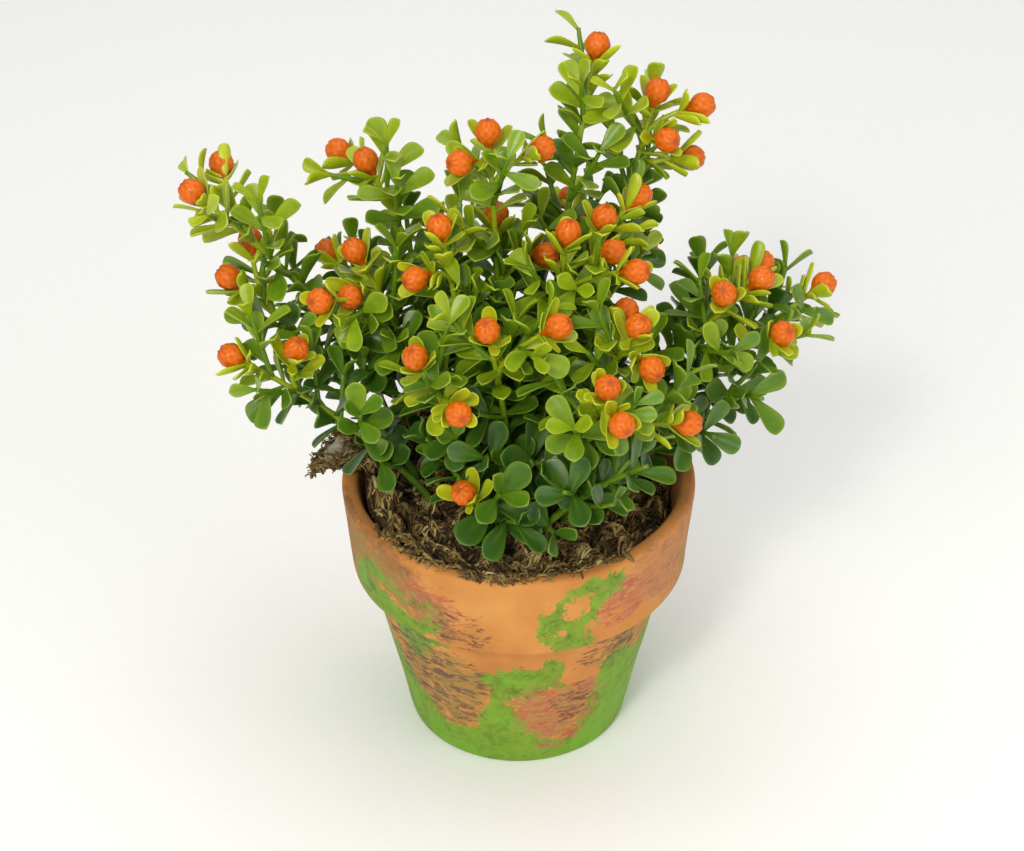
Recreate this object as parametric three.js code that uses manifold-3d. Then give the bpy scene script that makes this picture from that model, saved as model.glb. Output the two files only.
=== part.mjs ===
// Potted coral bead plant: moulded leafy sprays with ribbed beads in a small terracotta pot.
// Millimetres, +Z up. The origin is on the pot's axis at the underside of the pot, and -Y is the front.
import * as THREE from "three";
import { mergeVertices } from "three/addons/utils/BufferGeometryUtils.js";
import Module from "manifold-3d";

// Pot
const POT_HEIGHT = 73;
const RIM_RADIUS = 45;
const BAND_HEIGHT = 24.4;
const BAND_BOTTOM_RADIUS = 42.8;
const BODY_TOP_RADIUS = 38.6;
const BASE_RADIUS = 28.3;
const LIP_THICKNESS = 4;
const FLOOR_THICKNESS = 5;
const INNER_FLOOR_RADIUS = 24;
const DRAIN_RADIUS = 5;
const EDGE_ROUND = 0.8;
const LIP_CROWN = 0.4;
const POT_SIDES = 32;

// Filling
const GAP = 0.3;
const WALL_GAP = 0.6;
const FOAM_TOP = 57;
const FOAM_SIDES = 16;
const MOSS_LEVEL = 68.5;
const MOSS_SLOPE = 0.03;
const MOSS_BUMP = 1.5;
const MOSS_SIDES = 20;
const MOSS_RINGS = [14, 27];
const STEM_FOOT = 47;

// Moss scrap, as rows of [radius, height, turn, half angle] from inside the pot to the torn end
const SCRAP_AZIMUTH = 167;
const SCRAP_THICKNESS = 1.1;
const SCRAP_ROWS = [[38, 72.8, 0, 7], [43.4, 74.6, 2, 11], [47.2, 73.4, -1, 9], [50.6, 68.4, 4, 4]];

// Stems: a main stem rises from the moss and bends outwards at a share of its reach and height. Side
// shoots fork from it lower down the further apart the tips are, and start off along it for a while.
const STEM_RADIUS = 1.05;
const SHOOT_RADIUS = 0.85;
const STEM_RISE = 2;
const BEND_OUT = 0.36;
const BEND_UP = 0.56;
const FORK_SPREAD = 1.25;
const LOWEST_FORK = 0.8;
const FORK_LEAD = 0.4;
const SAG = 0.35;

// Beads: the radius and height of the profile's points, from the neck to the crown
const BEAD_SIDES = 6;
const BEAD_PROFILE = [[0, -3.6], [3.1, -1.4], [3.2, 1.2], [0, 3.2]];

// Leaf nodes: how far the whorl lies behind the tip, the steps down from it, and the bare ends
const WHORL_BACK = 4.6;
const WHORL_STAGGER = 1;
const NODE_STEP = 5.6;
const NODE_GROWTH = 1.1;
const BARE_STEM = 13;
const BARE_FORK = 4;

// Leaves: the sizes close behind a bead and from the young span downwards. A shoot without a bead has
// older leaves at its tip, as if it lay further down. The sides curl up and the tip bends back.
const TIP_LEAF = { length: 8.6, width: 4.8 };
const OLD_LEAF = { length: 11.5, width: 7 };
const YOUNG_SPAN = 36;
const LEAFY_HEAD_START = 20;
const LEAF_CUP = 0.35;
const LEAF_DROOP = 0.12;
const RIB_DEPTH = 1;
const RIB_END = 0.62;
const SIDE_REFERENCE = new THREE.Vector3(0.36, 0.93, 0);

// How the leaves differ: angles in radians, and sizes as shares
const SPRAY_TURN = 0.7;
const TURN_SPREAD = 0.5;
const WHORL_LIFT = 0.75;
const WHORL_LIFT_SPREAD = 0.3;
const PAIR_LIFT = 0.5;
const PAIR_LIFT_SPREAD = 0.5;
const SIZE_SPREAD = 0.24;
const GOLDEN = 0.618034;

// Room: how far a leaf keeps from others, from a bead and from the pot's inside
const CLEAR = 2.1;
const BEAD_CLEAR = 5;
const MOUTH_RADIUS = 34;

// Each spray: where its stem stands, the beads on its shoots, and the tips of shoots with leaves only.
// The first bead, or the first leafy tip if there is none, ends the main stem.
const SPRAYS = [
  { root: [-3, 5], beads: [[-7, 14, 165], [-14, 8, 160], [6, 16, 159]], leafy: [] },
  { root: [-9, 0], beads: [[-19, 2, 146], [-25, -4, 135]], leafy: [] },
  { root: [-2, 12], beads: [[-5, 20, 138], [7, 12, 131]], leafy: [] },
  { root: [-15, 1], beads: [[-40, 12, 133], [-41, 2, 126], [-48, -7, 131]], leafy: [] },
  { root: [-23, -6], beads: [[-70, -8, 116], [-54, -10, 119]], leafy: [[-50, -8, 96]] },
  { root: [-26, 3], beads: [[-71, 10, 127], [-66, 22, 130]], leafy: [] },
  { root: [-21, 11], beads: [[-79, 16, 148], [-73, 34, 145]], leafy: [] },
  { root: [-10, 16], beads: [[-37, 28, 149], [-44, 36, 147]], leafy: [] },
  { root: [5, -1], beads: [[12, 2, 144], [23, 4, 137], [28, -8, 139]], leafy: [] },
  { root: [8, 6], beads: [[21, 10, 143], [30, 18, 144]], leafy: [] },
  { root: [14, 12], beads: [[35, 36, 163], [46, 34, 160], [37, 26, 155], [44, 34, 145]], leafy: [] },
  { root: [5, 14], beads: [[20, 36, 176], [14, 46, 126]], leafy: [] },
  { root: [17, 4], beads: [[60, 8, 126], [61, 18, 124], [50, 0, 127]], leafy: [] },
  { root: [19, -3], beads: [[78, 26, 112], [65, 0, 115]], leafy: [[60, -8, 101], [48, -14, 94]] },
  { root: [-1, -8], beads: [[-8, -22, 132], [9, -22, 133]], leafy: [] },
  { root: [11, -6], beads: [[28, -18, 130], [31, -26, 123], [26, -4, 125]], leafy: [] },
  { root: [11, -14], beads: [[20, -36, 125], [23, -44, 120], [40, -30, 110]], leafy: [] },
  { root: [-10, -9], beads: [[-25, -24, 126], [-15, -36, 118]], leafy: [] },
  { root: [-6, -20], beads: [[-14, -30, 90]], leafy: [] },
  { root: [3, -25], beads: [], leafy: [[30, -36, 102], [10, -38, 96]] },
  { root: [-4, 21], beads: [[-22, 42, 124], [-6, 44, 117]], leafy: [] },
  { root: [11, 20], beads: [[18, 44, 120], [34, 42, 112]], leafy: [] },
  { root: [-17, 20], beads: [[-48, 38, 116], [-34, 46, 104]], leafy: [] },
  { root: [22, 11], beads: [[58, 34, 112], [48, 42, 100]], leafy: [] },
];

const wasm = await Module();
wasm.setup();

// Solids

// A closed three.js geometry as a manifold solid, with its shared vertices merged.
function toSolid(geometry) {
  const bare = geometry.index ? geometry.toNonIndexed() : geometry.clone();
  bare.deleteAttribute("normal");
  bare.deleteAttribute("uv");
  const merged = mergeVertices(bare, 1e-4);
  return new wasm.Manifold(
    new wasm.Mesh({
      numProp: 3,
      vertProperties: merged.attributes.position.array,
      triVerts: new Uint32Array(merged.index.array),
    }),
  );
}

// A manifold solid as a three.js geometry.
function toGeometry(solid) {
  const mesh = solid.getMesh();
  const geometry = new THREE.BufferGeometry();
  geometry.setAttribute("position", new THREE.BufferAttribute(mesh.vertProperties, 3));
  geometry.setIndex(new THREE.BufferAttribute(mesh.triVerts, 1));
  geometry.computeVertexNormals();
  return geometry;
}

// A solid turned about the Z axis from a profile of [radius, height] points.
function turned(profile, sides) {
  const points = profile.map(([radius, height]) => new THREE.Vector2(radius, height));
  return toSolid(new THREE.LatheGeometry(points, sides).rotateX(Math.PI / 2));
}

// A three-sided bar along a curve.
function bar(curve, radius, steps) {
  const corners = [0, 1, 2].map((i) => {
    const angle = (2 * Math.PI * i) / 3;
    return new THREE.Vector2(radius * Math.cos(angle), radius * Math.sin(angle));
  });
  const options = { steps, bevelEnabled: false, extrudePath: curve };
  return toSolid(new THREE.ExtrudeGeometry(new THREE.Shape(corners), options));
}

// A bar that stands upright at a place in the moss.
function uprightBar([x, y], bottom, top, radius) {
  const line = new THREE.LineCurve3(new THREE.Vector3(x, y, bottom), new THREE.Vector3(x, y, top));
  return bar(line, radius, 1);
}

// A closed solid from its corner points and its triangles, which are numbered from outside.
function faceted(corners, triangles) {
  const geometry = new THREE.BufferGeometry();
  const numbers = corners.flatMap((corner) => corner.toArray());
  geometry.setAttribute("position", new THREE.Float32BufferAttribute(numbers, 3));
  geometry.setIndex(triangles.flat());
  return toSolid(geometry);
}

const vector = ([x, y, z]) => new THREE.Vector3(x, y, z);

// Pot

const innerRadius = (height) => {
  const rise = (height - FLOOR_THICKNESS) / (POT_HEIGHT - FLOOR_THICKNESS);
  return THREE.MathUtils.lerp(INNER_FLOOR_RADIUS, RIM_RADIUS - LIP_THICKNESS, rise);
};

function potSolid() {
  const bandBottom = POT_HEIGHT - BAND_HEIGHT;
  const lipMiddle = RIM_RADIUS - LIP_THICKNESS / 2;
  const lipShoulder = POT_HEIGHT - LIP_THICKNESS / 2;
  const profile = [
    [DRAIN_RADIUS, 0],
    [BASE_RADIUS - EDGE_ROUND, 0],
    [BASE_RADIUS, EDGE_ROUND],
    [BODY_TOP_RADIUS, bandBottom],
    [BAND_BOTTOM_RADIUS - EDGE_ROUND, bandBottom],
    [BAND_BOTTOM_RADIUS, bandBottom + EDGE_ROUND],
    [RIM_RADIUS, lipShoulder],
    [RIM_RADIUS - EDGE_ROUND, POT_HEIGHT - LIP_CROWN],
    [lipMiddle, POT_HEIGHT],
    [RIM_RADIUS - LIP_THICKNESS + EDGE_ROUND, POT_HEIGHT - LIP_CROWN],
    [innerRadius(lipShoulder), lipShoulder],
    [INNER_FLOOR_RADIUS, FLOOR_THICKNESS],
    [DRAIN_RADIUS, FLOOR_THICKNESS],
    [DRAIN_RADIUS, 0],
  ];
  return turned(profile, POT_SIDES);
}

// Foam plug and moss layer, with a plain hole for each stem

function stemHoles(bottom, top) {
  const radius = STEM_RADIUS + 2 * GAP;
  return wasm.Manifold.union(SPRAYS.map(({ root }) => uprightBar(root, bottom, top, radius)));
}

function foamSolid() {
  const bottom = FLOOR_THICKNESS + GAP;
  const plug = turned(
    [
      [0, bottom],
      [innerRadius(bottom) - WALL_GAP, bottom],
      [innerRadius(FOAM_TOP) - WALL_GAP, FOAM_TOP],
      [0, FOAM_TOP],
    ],
    FOAM_SIDES,
  );
  return plug.subtract(stemHoles(STEM_FOOT - GAP, POT_HEIGHT));
}

// The height of the moss: it rises to the left, with low humps and hollows.
function mossHeight(x, y) {
  const humps = Math.sin(0.31 * x + 0.7) * Math.cos(0.27 * y - 0.4) + 0.6 * Math.sin(0.45 * (x + y));
  return MOSS_LEVEL - MOSS_SLOPE * x + MOSS_BUMP * humps;
}

function mossSolid() {
  const bottom = FOAM_TOP + GAP;
  const edge = innerRadius(MOSS_LEVEL - MOSS_SLOPE * RIM_RADIUS) - WALL_GAP;
  const foot = innerRadius(bottom) - WALL_GAP;
  const angles = Array.from({ length: MOSS_SIDES }, (_, i) => (2 * Math.PI * i) / MOSS_SIDES);
  const corners = [new THREE.Vector3(0, 0, mossHeight(0, 0))];
  for (const radius of [...MOSS_RINGS, edge, foot]) {
    for (const angle of angles) {
      const x = radius * Math.cos(angle);
      const y = radius * Math.sin(angle);
      corners.push(new THREE.Vector3(x, y, radius === foot ? bottom : mossHeight(x, y)));
    }
  }
  const bottomCentre = corners.length;
  corners.push(new THREE.Vector3(0, 0, bottom));
  const lastRing = MOSS_RINGS.length + 1;
  const at = (ring, i) => 1 + ring * MOSS_SIDES + (i % MOSS_SIDES);
  const triangles = angles.flatMap((_, i) => {
    const sector = [[0, at(0, i), at(0, i + 1)]];
    for (let ring = 0; ring < lastRing; ring++) {
      sector.push([at(ring, i), at(ring + 1, i), at(ring + 1, i + 1)]);
      sector.push([at(ring, i), at(ring + 1, i + 1), at(ring, i + 1)]);
    }
    return [...sector, [bottomCentre, at(lastRing, i + 1), at(lastRing, i)]];
  });
  return faceted(corners, triangles).subtract(stemHoles(bottom - GAP, POT_HEIGHT));
}

// A torn flake that comes out of the moss, lies over the lip and hangs a little way down outside.
function scrapSolid() {
  const rows = SCRAP_ROWS.map(([radius, height, turn, halfAngle]) =>
    [halfAngle, -halfAngle].map((angle) => {
      const azimuth = THREE.MathUtils.degToRad(SCRAP_AZIMUTH + turn + angle);
      return new THREE.Vector3(radius * Math.cos(azimuth), radius * Math.sin(azimuth), height);
    }),
  );
  const inward = THREE.MathUtils.degToRad(SCRAP_AZIMUTH + 180);
  const down = new THREE.Vector3(Math.cos(inward), Math.sin(inward), -2).setLength(SCRAP_THICKNESS);
  const top = rows.flat();
  const corners = [...top, ...top.map((corner) => corner.clone().add(down))];
  const count = top.length;
  const triangles = [];
  for (let i = 0; i < count - 2; i += 2) {
    triangles.push([i, i + 1, i + 3], [i, i + 3, i + 2]);
    triangles.push([count + i, count + i + 3, count + i + 1], [count + i, count + i + 2, count + i + 3]);
    triangles.push([i, i + 2, count + i + 2], [i, count + i + 2, count + i]);
    triangles.push([i + 1, count + i + 3, i + 3], [i + 1, count + i + 1, count + i + 3]);
  }
  triangles.push([0, count + 1, 1], [0, count, count + 1]);
  triangles.push([count - 2, count - 1, 2 * count - 1], [count - 2, 2 * count - 1, 2 * count - 2]);
  return faceted(corners, triangles);
}

// Growth: shoots, leaf sites and the room that they leave each other

// A steady draw from -0.5 to 0.5 that differs for each number.
const draw = (number) => ((number * GOLDEN) % 1) - 0.5;

// The shoots of a spray. Each has a curve from its foot to its tip, and its bead, if it has one.
function shootsOf({ root: [x, y], beads, leafy }) {
  const tips = [...beads, ...leafy].map(vector);
  const foot = new THREE.Vector3(x, y, mossHeight(x, y) + STEM_RISE);
  const rise = tips[0].clone().sub(foot);
  const bend = foot.clone().add(rise.multiply(new THREE.Vector3(BEND_OUT, BEND_OUT, BEND_UP)));
  const main = new THREE.QuadraticBezierCurve3(foot, bend, tips[0]);
  const length = main.getLength();
  return tips.map((tip, i) => {
    const hasBead = i < beads.length;
    if (i === 0) return { curve: main, hasBead, main: true };
    const apart = tip.distanceTo(tips[0]);
    const start = 1 - Math.min(LOWEST_FORK, (FORK_SPREAD * apart) / length);
    const fork = main.getPoint(start);
    const lead = main.getTangent(start).multiplyScalar(FORK_LEAD * tip.distanceTo(fork));
    return {
      curve: new THREE.QuadraticBezierCurve3(fork, fork.clone().add(lead), tip),
      hasBead,
      main: false,
    };
  });
}

// Spoon-shaped blades: the outline of the upper face from the base round the tip, as [share of the
// length, share of the width], and how it is split into triangles, which folds it up at both sides.
// Below runs the thick rib, from under the base to the middle of the blade.
const OLD_BLADE = {
  outline: [[0, 0], [0.38, -0.2], [0.78, -0.5], [1, 0], [0.78, 0.5], [0.38, 0.2]],
  upper: [[0, 1, 5], [1, 3, 5], [1, 2, 3], [3, 4, 5]],
};
const YOUNG_BLADE = {
  outline: [[0, 0], [0.5, -0.4], [0.96, -0.32], [0.96, 0.32], [0.5, 0.4]],
  upper: [[0, 1, 4], [1, 2, 3], [1, 3, 4]],
};

// A point of a leaf's upper face, at a share of its length and of its width.
function bladePoint(leaf, along, across) {
  const lift = LEAF_CUP * Math.abs(across) * leaf.width - LEAF_DROOP * along * along * leaf.length;
  return leaf.base
    .clone()
    .addScaledVector(leaf.along, along * leaf.length)
    .addScaledVector(leaf.across, across * leaf.width)
    .addScaledVector(leaf.up, lift);
}

// A leaf at a place on a shoot, turned round it by one angle and raised from it by another.
function leafAt(site, turn, lift, scale) {
  const side = site.tangent.clone().cross(SIDE_REFERENCE).normalize();
  const back = site.tangent.clone().cross(side);
  const outward = side.multiplyScalar(Math.cos(turn)).addScaledVector(back, Math.sin(turn));
  const along = outward
    .multiplyScalar(Math.cos(lift))
    .addScaledVector(site.tangent, Math.sin(lift))
    .normalize();
  const up = site.tangent.clone().addScaledVector(along, -site.tangent.dot(along)).normalize();
  return {
    base: site.centre,
    along,
    up,
    across: up.clone().cross(along),
    length: site.size.length * scale,
    width: site.size.width * scale,
    young: site.young,
  };
}

// How far a leaf node lies behind the tip: the nodes crowd together towards it.
const nodeBack = (node) => WHORL_BACK + node * (NODE_STEP + NODE_GROWTH * node);

// The places of the leaves on a shoot: a whorl under the tip, then pairs down the shoot.
function sitesOf(shoot, seed) {
  const length = shoot.curve.getLength();
  const sites = [];
  const last = length - (shoot.main ? BARE_STEM : BARE_FORK);
  const headStart = shoot.hasBead ? 0 : LEAFY_HEAD_START;
  for (let node = 0; nodeBack(node) < last; node++) {
    const back = nodeBack(node);
    const age = Math.min(1, (back + headStart) / YOUNG_SPAN);
    const count = node === 0 ? 3 : 2;
    const [lift, liftSpread] = node === 0 ? [WHORL_LIFT, WHORL_LIFT_SPREAD] : [PAIR_LIFT, PAIR_LIFT_SPREAD];
    const size = {
      length: THREE.MathUtils.lerp(TIP_LEAF.length, OLD_LEAF.length, age),
      width: THREE.MathUtils.lerp(TIP_LEAF.width, OLD_LEAF.width, age),
    };
    for (let i = 0; i < count; i++) {
      const number = seed * 31 + node * 5 + i;
      const place = 1 - (back + i * WHORL_STAGGER) / length;
      const evenTurn = (2 * Math.PI * i) / count + (node % 2) * (Math.PI / 2);
      sites.push({
        centre: shoot.curve.getPointAt(place),
        tangent: shoot.curve.getTangentAt(place),
        size,
        young: node === 0 && shoot.hasBead,
        whorl: node === 0,
        node,
        turn: evenTurn + SPRAY_TURN * seed + TURN_SPREAD * draw(number),
        lift: lift + liftSpread * draw(number + 3),
        scale: 1 + SIZE_SPREAD * draw(number + 7),
      });
    }
  }
  return sites;
}

// The points that stand for a leaf when its room is tested.
function leafPoints(leaf) {
  const points = [bladePoint(leaf, 0.35, 0)];
  for (const along of [0.6, 0.82, 1]) {
    const half = along === 1 ? 0.25 : 0.45;
    for (const across of [-half, 0, half]) points.push(bladePoint(leaf, along, across));
  }
  return points;
}

// The room already taken, kept as points in cells with the distance that each asks for.
class Room {
  constructor() {
    this.cells = new Map();
  }

  take(point, reach, tag) {
    const key = this.cellOf(point).join();
    if (!this.cells.has(key)) this.cells.set(key, []);
    this.cells.get(key).push({ point, reach, tag });
  }

  cellOf(point) {
    return point.toArray().map((value) => Math.floor(value / BEAD_CLEAR));
  }

  // Whether a point keeps clear of all that is taken, apart from what has one of the given tags.
  isFree(point, ownTags) {
    const [x, y, z] = this.cellOf(point);
    for (const cell of NEIGHBOURS) {
      const key = [x + cell[0], y + cell[1], z + cell[2]].join();
      for (const taken of this.cells.get(key) ?? []) {
        const close = taken.point.distanceTo(point) < taken.reach;
        if (close && !ownTags.includes(taken.tag)) return false;
      }
    }
    return true;
  }
}

const STEPS = [-1, 0, 1];
const NEIGHBOURS = STEPS.flatMap((x) => STEPS.flatMap((y) => STEPS.map((z) => [x, y, z])));

// The ways that a leaf may grow, tried in turn until one is free, as [turn, lift, scale].
const TRIES = [
  [0, 0, 1],
  [0.4, 0, 1],
  [-0.4, 0, 1],
  [0, 0.4, 1],
  [0.8, 0.2, 0.9],
  [-0.8, 0.2, 0.9],
  [0, -0.4, 0.85],
];

// All sprays with their shoots and the leaves that found room, the whorls first.
function grow() {
  const room = new Room();
  const sprays = SPRAYS.map((spray) => ({ root: spray.root, shoots: shootsOf(spray), leaves: [] }));
  const sites = [];
  sprays.forEach((spray, s) =>
    spray.shoots.forEach((shoot, b) => {
      const stemTag = `${s}.${b}`;
      const steps = Math.ceil(shoot.curve.getLength() / STEM_RADIUS);
      for (let i = 0; i <= steps; i++) room.take(shoot.curve.getPointAt(i / steps), CLEAR, stemTag);
      if (shoot.hasBead) room.take(shoot.curve.getPoint(1), BEAD_CLEAR, stemTag);
      for (const site of sitesOf(shoot, 5 * s + b)) {
        sites.push({ ...site, spray, tags: [stemTag, `${stemTag}.${site.node}`] });
      }
    }),
  );
  const inTurn = [...sites.filter((site) => site.whorl), ...sites.filter((site) => !site.whorl)];
  for (const site of inTurn) {
    for (const [turn, lift, scale] of TRIES) {
      const leaf = leafAt(site, site.turn + turn, site.lift + lift, site.scale * scale);
      const points = leafPoints(leaf);
      const aboveMoss = points.every(({ x, y, z }) => z > mossHeight(x, y) + CLEAR);
      const offPot = points.every(
        ({ x, y, z }) => z > POT_HEIGHT + CLEAR || Math.hypot(x, y) < MOUTH_RADIUS,
      );
      if (!aboveMoss || !offPot || !points.every((point) => room.isFree(point, site.tags))) continue;
      for (const point of points) room.take(point, CLEAR, site.tags[1]);
      site.spray.leaves.push(leaf);
      break;
    }
  }
  return sprays;
}

// Sprays

function leafSolid(leaf) {
  const { outline, upper } = leaf.young ? YOUNG_BLADE : OLD_BLADE;
  const ring = outline.map(([along, across]) => bladePoint(leaf, along, across));
  const ribFoot = bladePoint(leaf, 0, 0).addScaledVector(leaf.up, -RIB_DEPTH);
  const ribEnd = bladePoint(leaf, RIB_END, 0).addScaledVector(leaf.up, -RIB_DEPTH);
  const foot = ring.length;
  const end = foot + 1;
  const lower = [[0, foot, 1], [foot, end, 1], [0, foot - 1, foot], [foot, foot - 1, end]];
  for (let i = 1; i < foot - 1; i++) lower.push([i, end, i + 1]);
  return faceted([...ring, ribFoot, ribEnd], [...upper, ...lower]);
}

function beadSolid(curve) {
  const points = BEAD_PROFILE.map(([radius, height]) => new THREE.Vector2(radius, height));
  const bead = new THREE.LatheGeometry(points, BEAD_SIDES);
  const upright = new THREE.Vector3(0, 1, 0);
  bead.applyQuaternion(new THREE.Quaternion().setFromUnitVectors(upright, curve.getTangent(1)));
  const tip = curve.getPoint(1);
  return toSolid(bead.translate(tip.x, tip.y, tip.z));
}

function spraySolid({ root, shoots, leaves }) {
  const pieces = [uprightBar(root, STEM_FOOT, shoots[0].curve.v0.z + STEM_RADIUS, STEM_RADIUS)];
  for (const { curve, hasBead, main } of shoots) {
    const bend = curve.v0.clone().addScaledVector(curve.v1, -2).add(curve.v2).length();
    const steps = Math.max(2, Math.ceil(Math.sqrt(bend / (4 * SAG))));
    pieces.push(bar(curve, main ? STEM_RADIUS : SHOOT_RADIUS, steps));
    if (hasBead) pieces.push(beadSolid(curve));
  }
  const fused = wasm.Manifold.union([...pieces, ...leaves.map(leafSolid)]);
  // The largest body alone, without the shells of hollows that the fusing sealed.
  return fused.decompose().sort((a, b) => b.volume() - a.volume())[0];
}

// The plant

const TERRACOTTA = new THREE.MeshStandardMaterial({ color: 0xd9955a, roughness: 0.85, metalness: 0 });
const FOAM = new THREE.MeshStandardMaterial({ color: 0x3d4a34, roughness: 0.95, metalness: 0 });
const MOSS = new THREE.MeshStandardMaterial({ color: 0x6e5c38, roughness: 0.95, metalness: 0 });
const FOLIAGE = new THREE.MeshStandardMaterial({ color: 0x5f8f2a, roughness: 0.4, metalness: 0 });

const plant = new THREE.Group();

function addPiece(name, solid, material) {
  const mesh = new THREE.Mesh(toGeometry(solid), material);
  mesh.name = name;
  plant.add(mesh);
}

addPiece("pot", potSolid(), TERRACOTTA);
addPiece("foam_plug", foamSolid(), FOAM);
addPiece("moss_layer", mossSolid(), MOSS);
addPiece("moss_scrap", scrapSolid(), MOSS);
grow().forEach((spray, i) => {
  addPiece(`spray_${String(i + 1).padStart(2, "0")}`, spraySolid(spray), FOLIAGE);
});

export default plant;
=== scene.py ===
"""Potted coral bead plant: moulded leafy sprays with ribbed beads in a small painted terracotta pot.

Lengths are millimetres in this script and metres in the meshes that it makes. +Z is up, the origin is
on the pot's axis at its underside, and -Y is the front.
"""
import logging
import math
from collections.abc import Callable
from dataclasses import dataclass, field, replace
from enum import Enum

import bpy
import numpy as np
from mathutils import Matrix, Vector


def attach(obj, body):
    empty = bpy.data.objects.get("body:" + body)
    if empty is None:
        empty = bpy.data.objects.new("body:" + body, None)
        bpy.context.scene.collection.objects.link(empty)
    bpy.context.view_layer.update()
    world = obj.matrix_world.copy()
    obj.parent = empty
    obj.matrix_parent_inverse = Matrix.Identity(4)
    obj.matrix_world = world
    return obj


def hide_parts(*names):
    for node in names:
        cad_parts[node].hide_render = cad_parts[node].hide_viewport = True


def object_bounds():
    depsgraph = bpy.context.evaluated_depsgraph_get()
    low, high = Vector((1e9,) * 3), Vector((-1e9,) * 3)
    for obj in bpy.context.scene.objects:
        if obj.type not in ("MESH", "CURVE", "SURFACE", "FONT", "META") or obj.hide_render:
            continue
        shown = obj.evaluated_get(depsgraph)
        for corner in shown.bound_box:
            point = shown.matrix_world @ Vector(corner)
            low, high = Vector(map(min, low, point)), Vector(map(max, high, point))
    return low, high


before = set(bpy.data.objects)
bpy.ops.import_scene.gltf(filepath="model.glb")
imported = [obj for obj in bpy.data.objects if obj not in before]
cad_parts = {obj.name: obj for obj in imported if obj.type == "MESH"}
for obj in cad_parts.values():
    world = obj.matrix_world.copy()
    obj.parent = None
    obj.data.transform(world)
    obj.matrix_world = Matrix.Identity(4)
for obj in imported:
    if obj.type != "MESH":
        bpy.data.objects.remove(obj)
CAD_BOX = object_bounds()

log = logging.getLogger("coral_bead_plant")

MM = 0.001
UP = np.array([0.0, 0.0, 1.0])
FULL_TURN = 2 * math.pi

Array = np.ndarray
Amount = np.ndarray | float
# Two ends of a range, or two values that belong together, and a place in millimetres.
Span = tuple[float, float]
Spot = tuple[float, float, float]
# A function of x and y that gives a height.
Ground = Callable[[Array, Array], Array]


# Meshes


@dataclass
class Shape:
    """Corner points in millimetres, the faces between them, and values kept at each point."""

    points: Array
    quads: Array = field(default_factory=lambda: np.zeros((0, 4), int))
    triangles: Array = field(default_factory=lambda: np.zeros((0, 3), int))
    values: dict[str, Array] = field(default_factory=dict)

    @staticmethod
    def joined(shapes: list["Shape"]) -> "Shape":
        """Puts several shapes with the same kinds of values into one."""
        starts = np.cumsum([0] + [len(shape.points) for shape in shapes[:-1]])
        return Shape(
            np.concatenate([shape.points for shape in shapes]),
            np.concatenate([shape.quads + start for shape, start in zip(shapes, starts)]),
            np.concatenate([shape.triangles + start for shape, start in zip(shapes, starts)]),
            {key: np.concatenate([shape.values[key] for shape in shapes]) for key in shapes[0].values},
        )

    def to_object(self, name: str, finish: "Finish") -> bpy.types.Object:
        """Makes a smooth-shaded object of the shape and links it to the scene.

        Args:
            name: The name of the piece.
            finish: The finish that it gets.

        Returns:
            The new object, in metres, at the origin.
        """
        mesh = bpy.data.meshes.new(name)
        corners = np.concatenate([self.quads.ravel(), self.triangles.ravel()])
        sizes = np.repeat([4, 3], [len(self.quads), len(self.triangles)])
        mesh.vertices.add(len(self.points))
        mesh.vertices.foreach_set("co", (self.points * MM).astype(np.float32).ravel())
        mesh.loops.add(len(corners))
        mesh.loops.foreach_set("vertex_index", corners.astype(np.int32))
        mesh.polygons.add(len(sizes))
        mesh.polygons.foreach_set("loop_start", (np.cumsum(sizes) - sizes).astype(np.int32))
        mesh.polygons.foreach_set("use_smooth", np.ones(len(sizes), bool))
        mesh.update(calc_edges=True)
        mesh.validate()
        for key, value in self.values.items():
            attribute = mesh.attributes.new(key, "FLOAT", "POINT")
            attribute.data.foreach_set("value", value.astype(np.float32))
        mesh.materials.append(finish.material())
        made = bpy.data.objects.new(name, mesh)
        bpy.context.scene.collection.objects.link(made)
        return made


def ring_quads(rows: int, around: int, closed_rows: bool = False) -> Array:
    """Quads of a tube of point rings, numbered row by row.

    Args:
        rows: How many rings there are.
        around: How many points a ring has.
        closed_rows: Whether the last ring joins the first.

    Returns:
        An array of four point numbers for each quad.
    """
    row = np.arange(rows if closed_rows else rows - 1)[:, None]
    step = np.arange(around)[None, :]
    after, beside = (row + 1) % rows, (step + 1) % around
    quads = [row * around + step, row * around + beside, after * around + beside, after * around + step]
    return np.stack(np.broadcast_arrays(*quads), axis=-1).reshape(-1, 4)


def fan(ring: Array, centre: int, turned_over: bool) -> Array:
    """Triangles between a ring of points and one point.

    Args:
        ring: The numbers of the ring's points.
        centre: The number of the single point.
        turned_over: Whether the triangles face the other way.

    Returns:
        An array of three point numbers for each triangle.
    """
    after = np.roll(ring, -1)
    first, second = (after, ring) if turned_over else (ring, after)
    return np.stack([first, second, np.full(len(ring), centre)], axis=-1)


def end_caps(rows: int, around: int) -> Array:
    """Triangles that close both ends of a tube, to the two points that follow its rings.

    Args:
        rows: How many rings the tube has.
        around: How many points a ring has.

    Returns:
        An array of three point numbers for each triangle.
    """
    last = rows * around
    first_ring, last_ring = np.arange(around), np.arange(last - around, last)
    return np.vstack([fan(first_ring, last, True), fan(last_ring, last + 1, False)])


def unit(vector: Array) -> Array:
    """The vector or vectors at length one."""
    return vector / np.linalg.norm(vector, axis=-1, keepdims=True)


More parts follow.
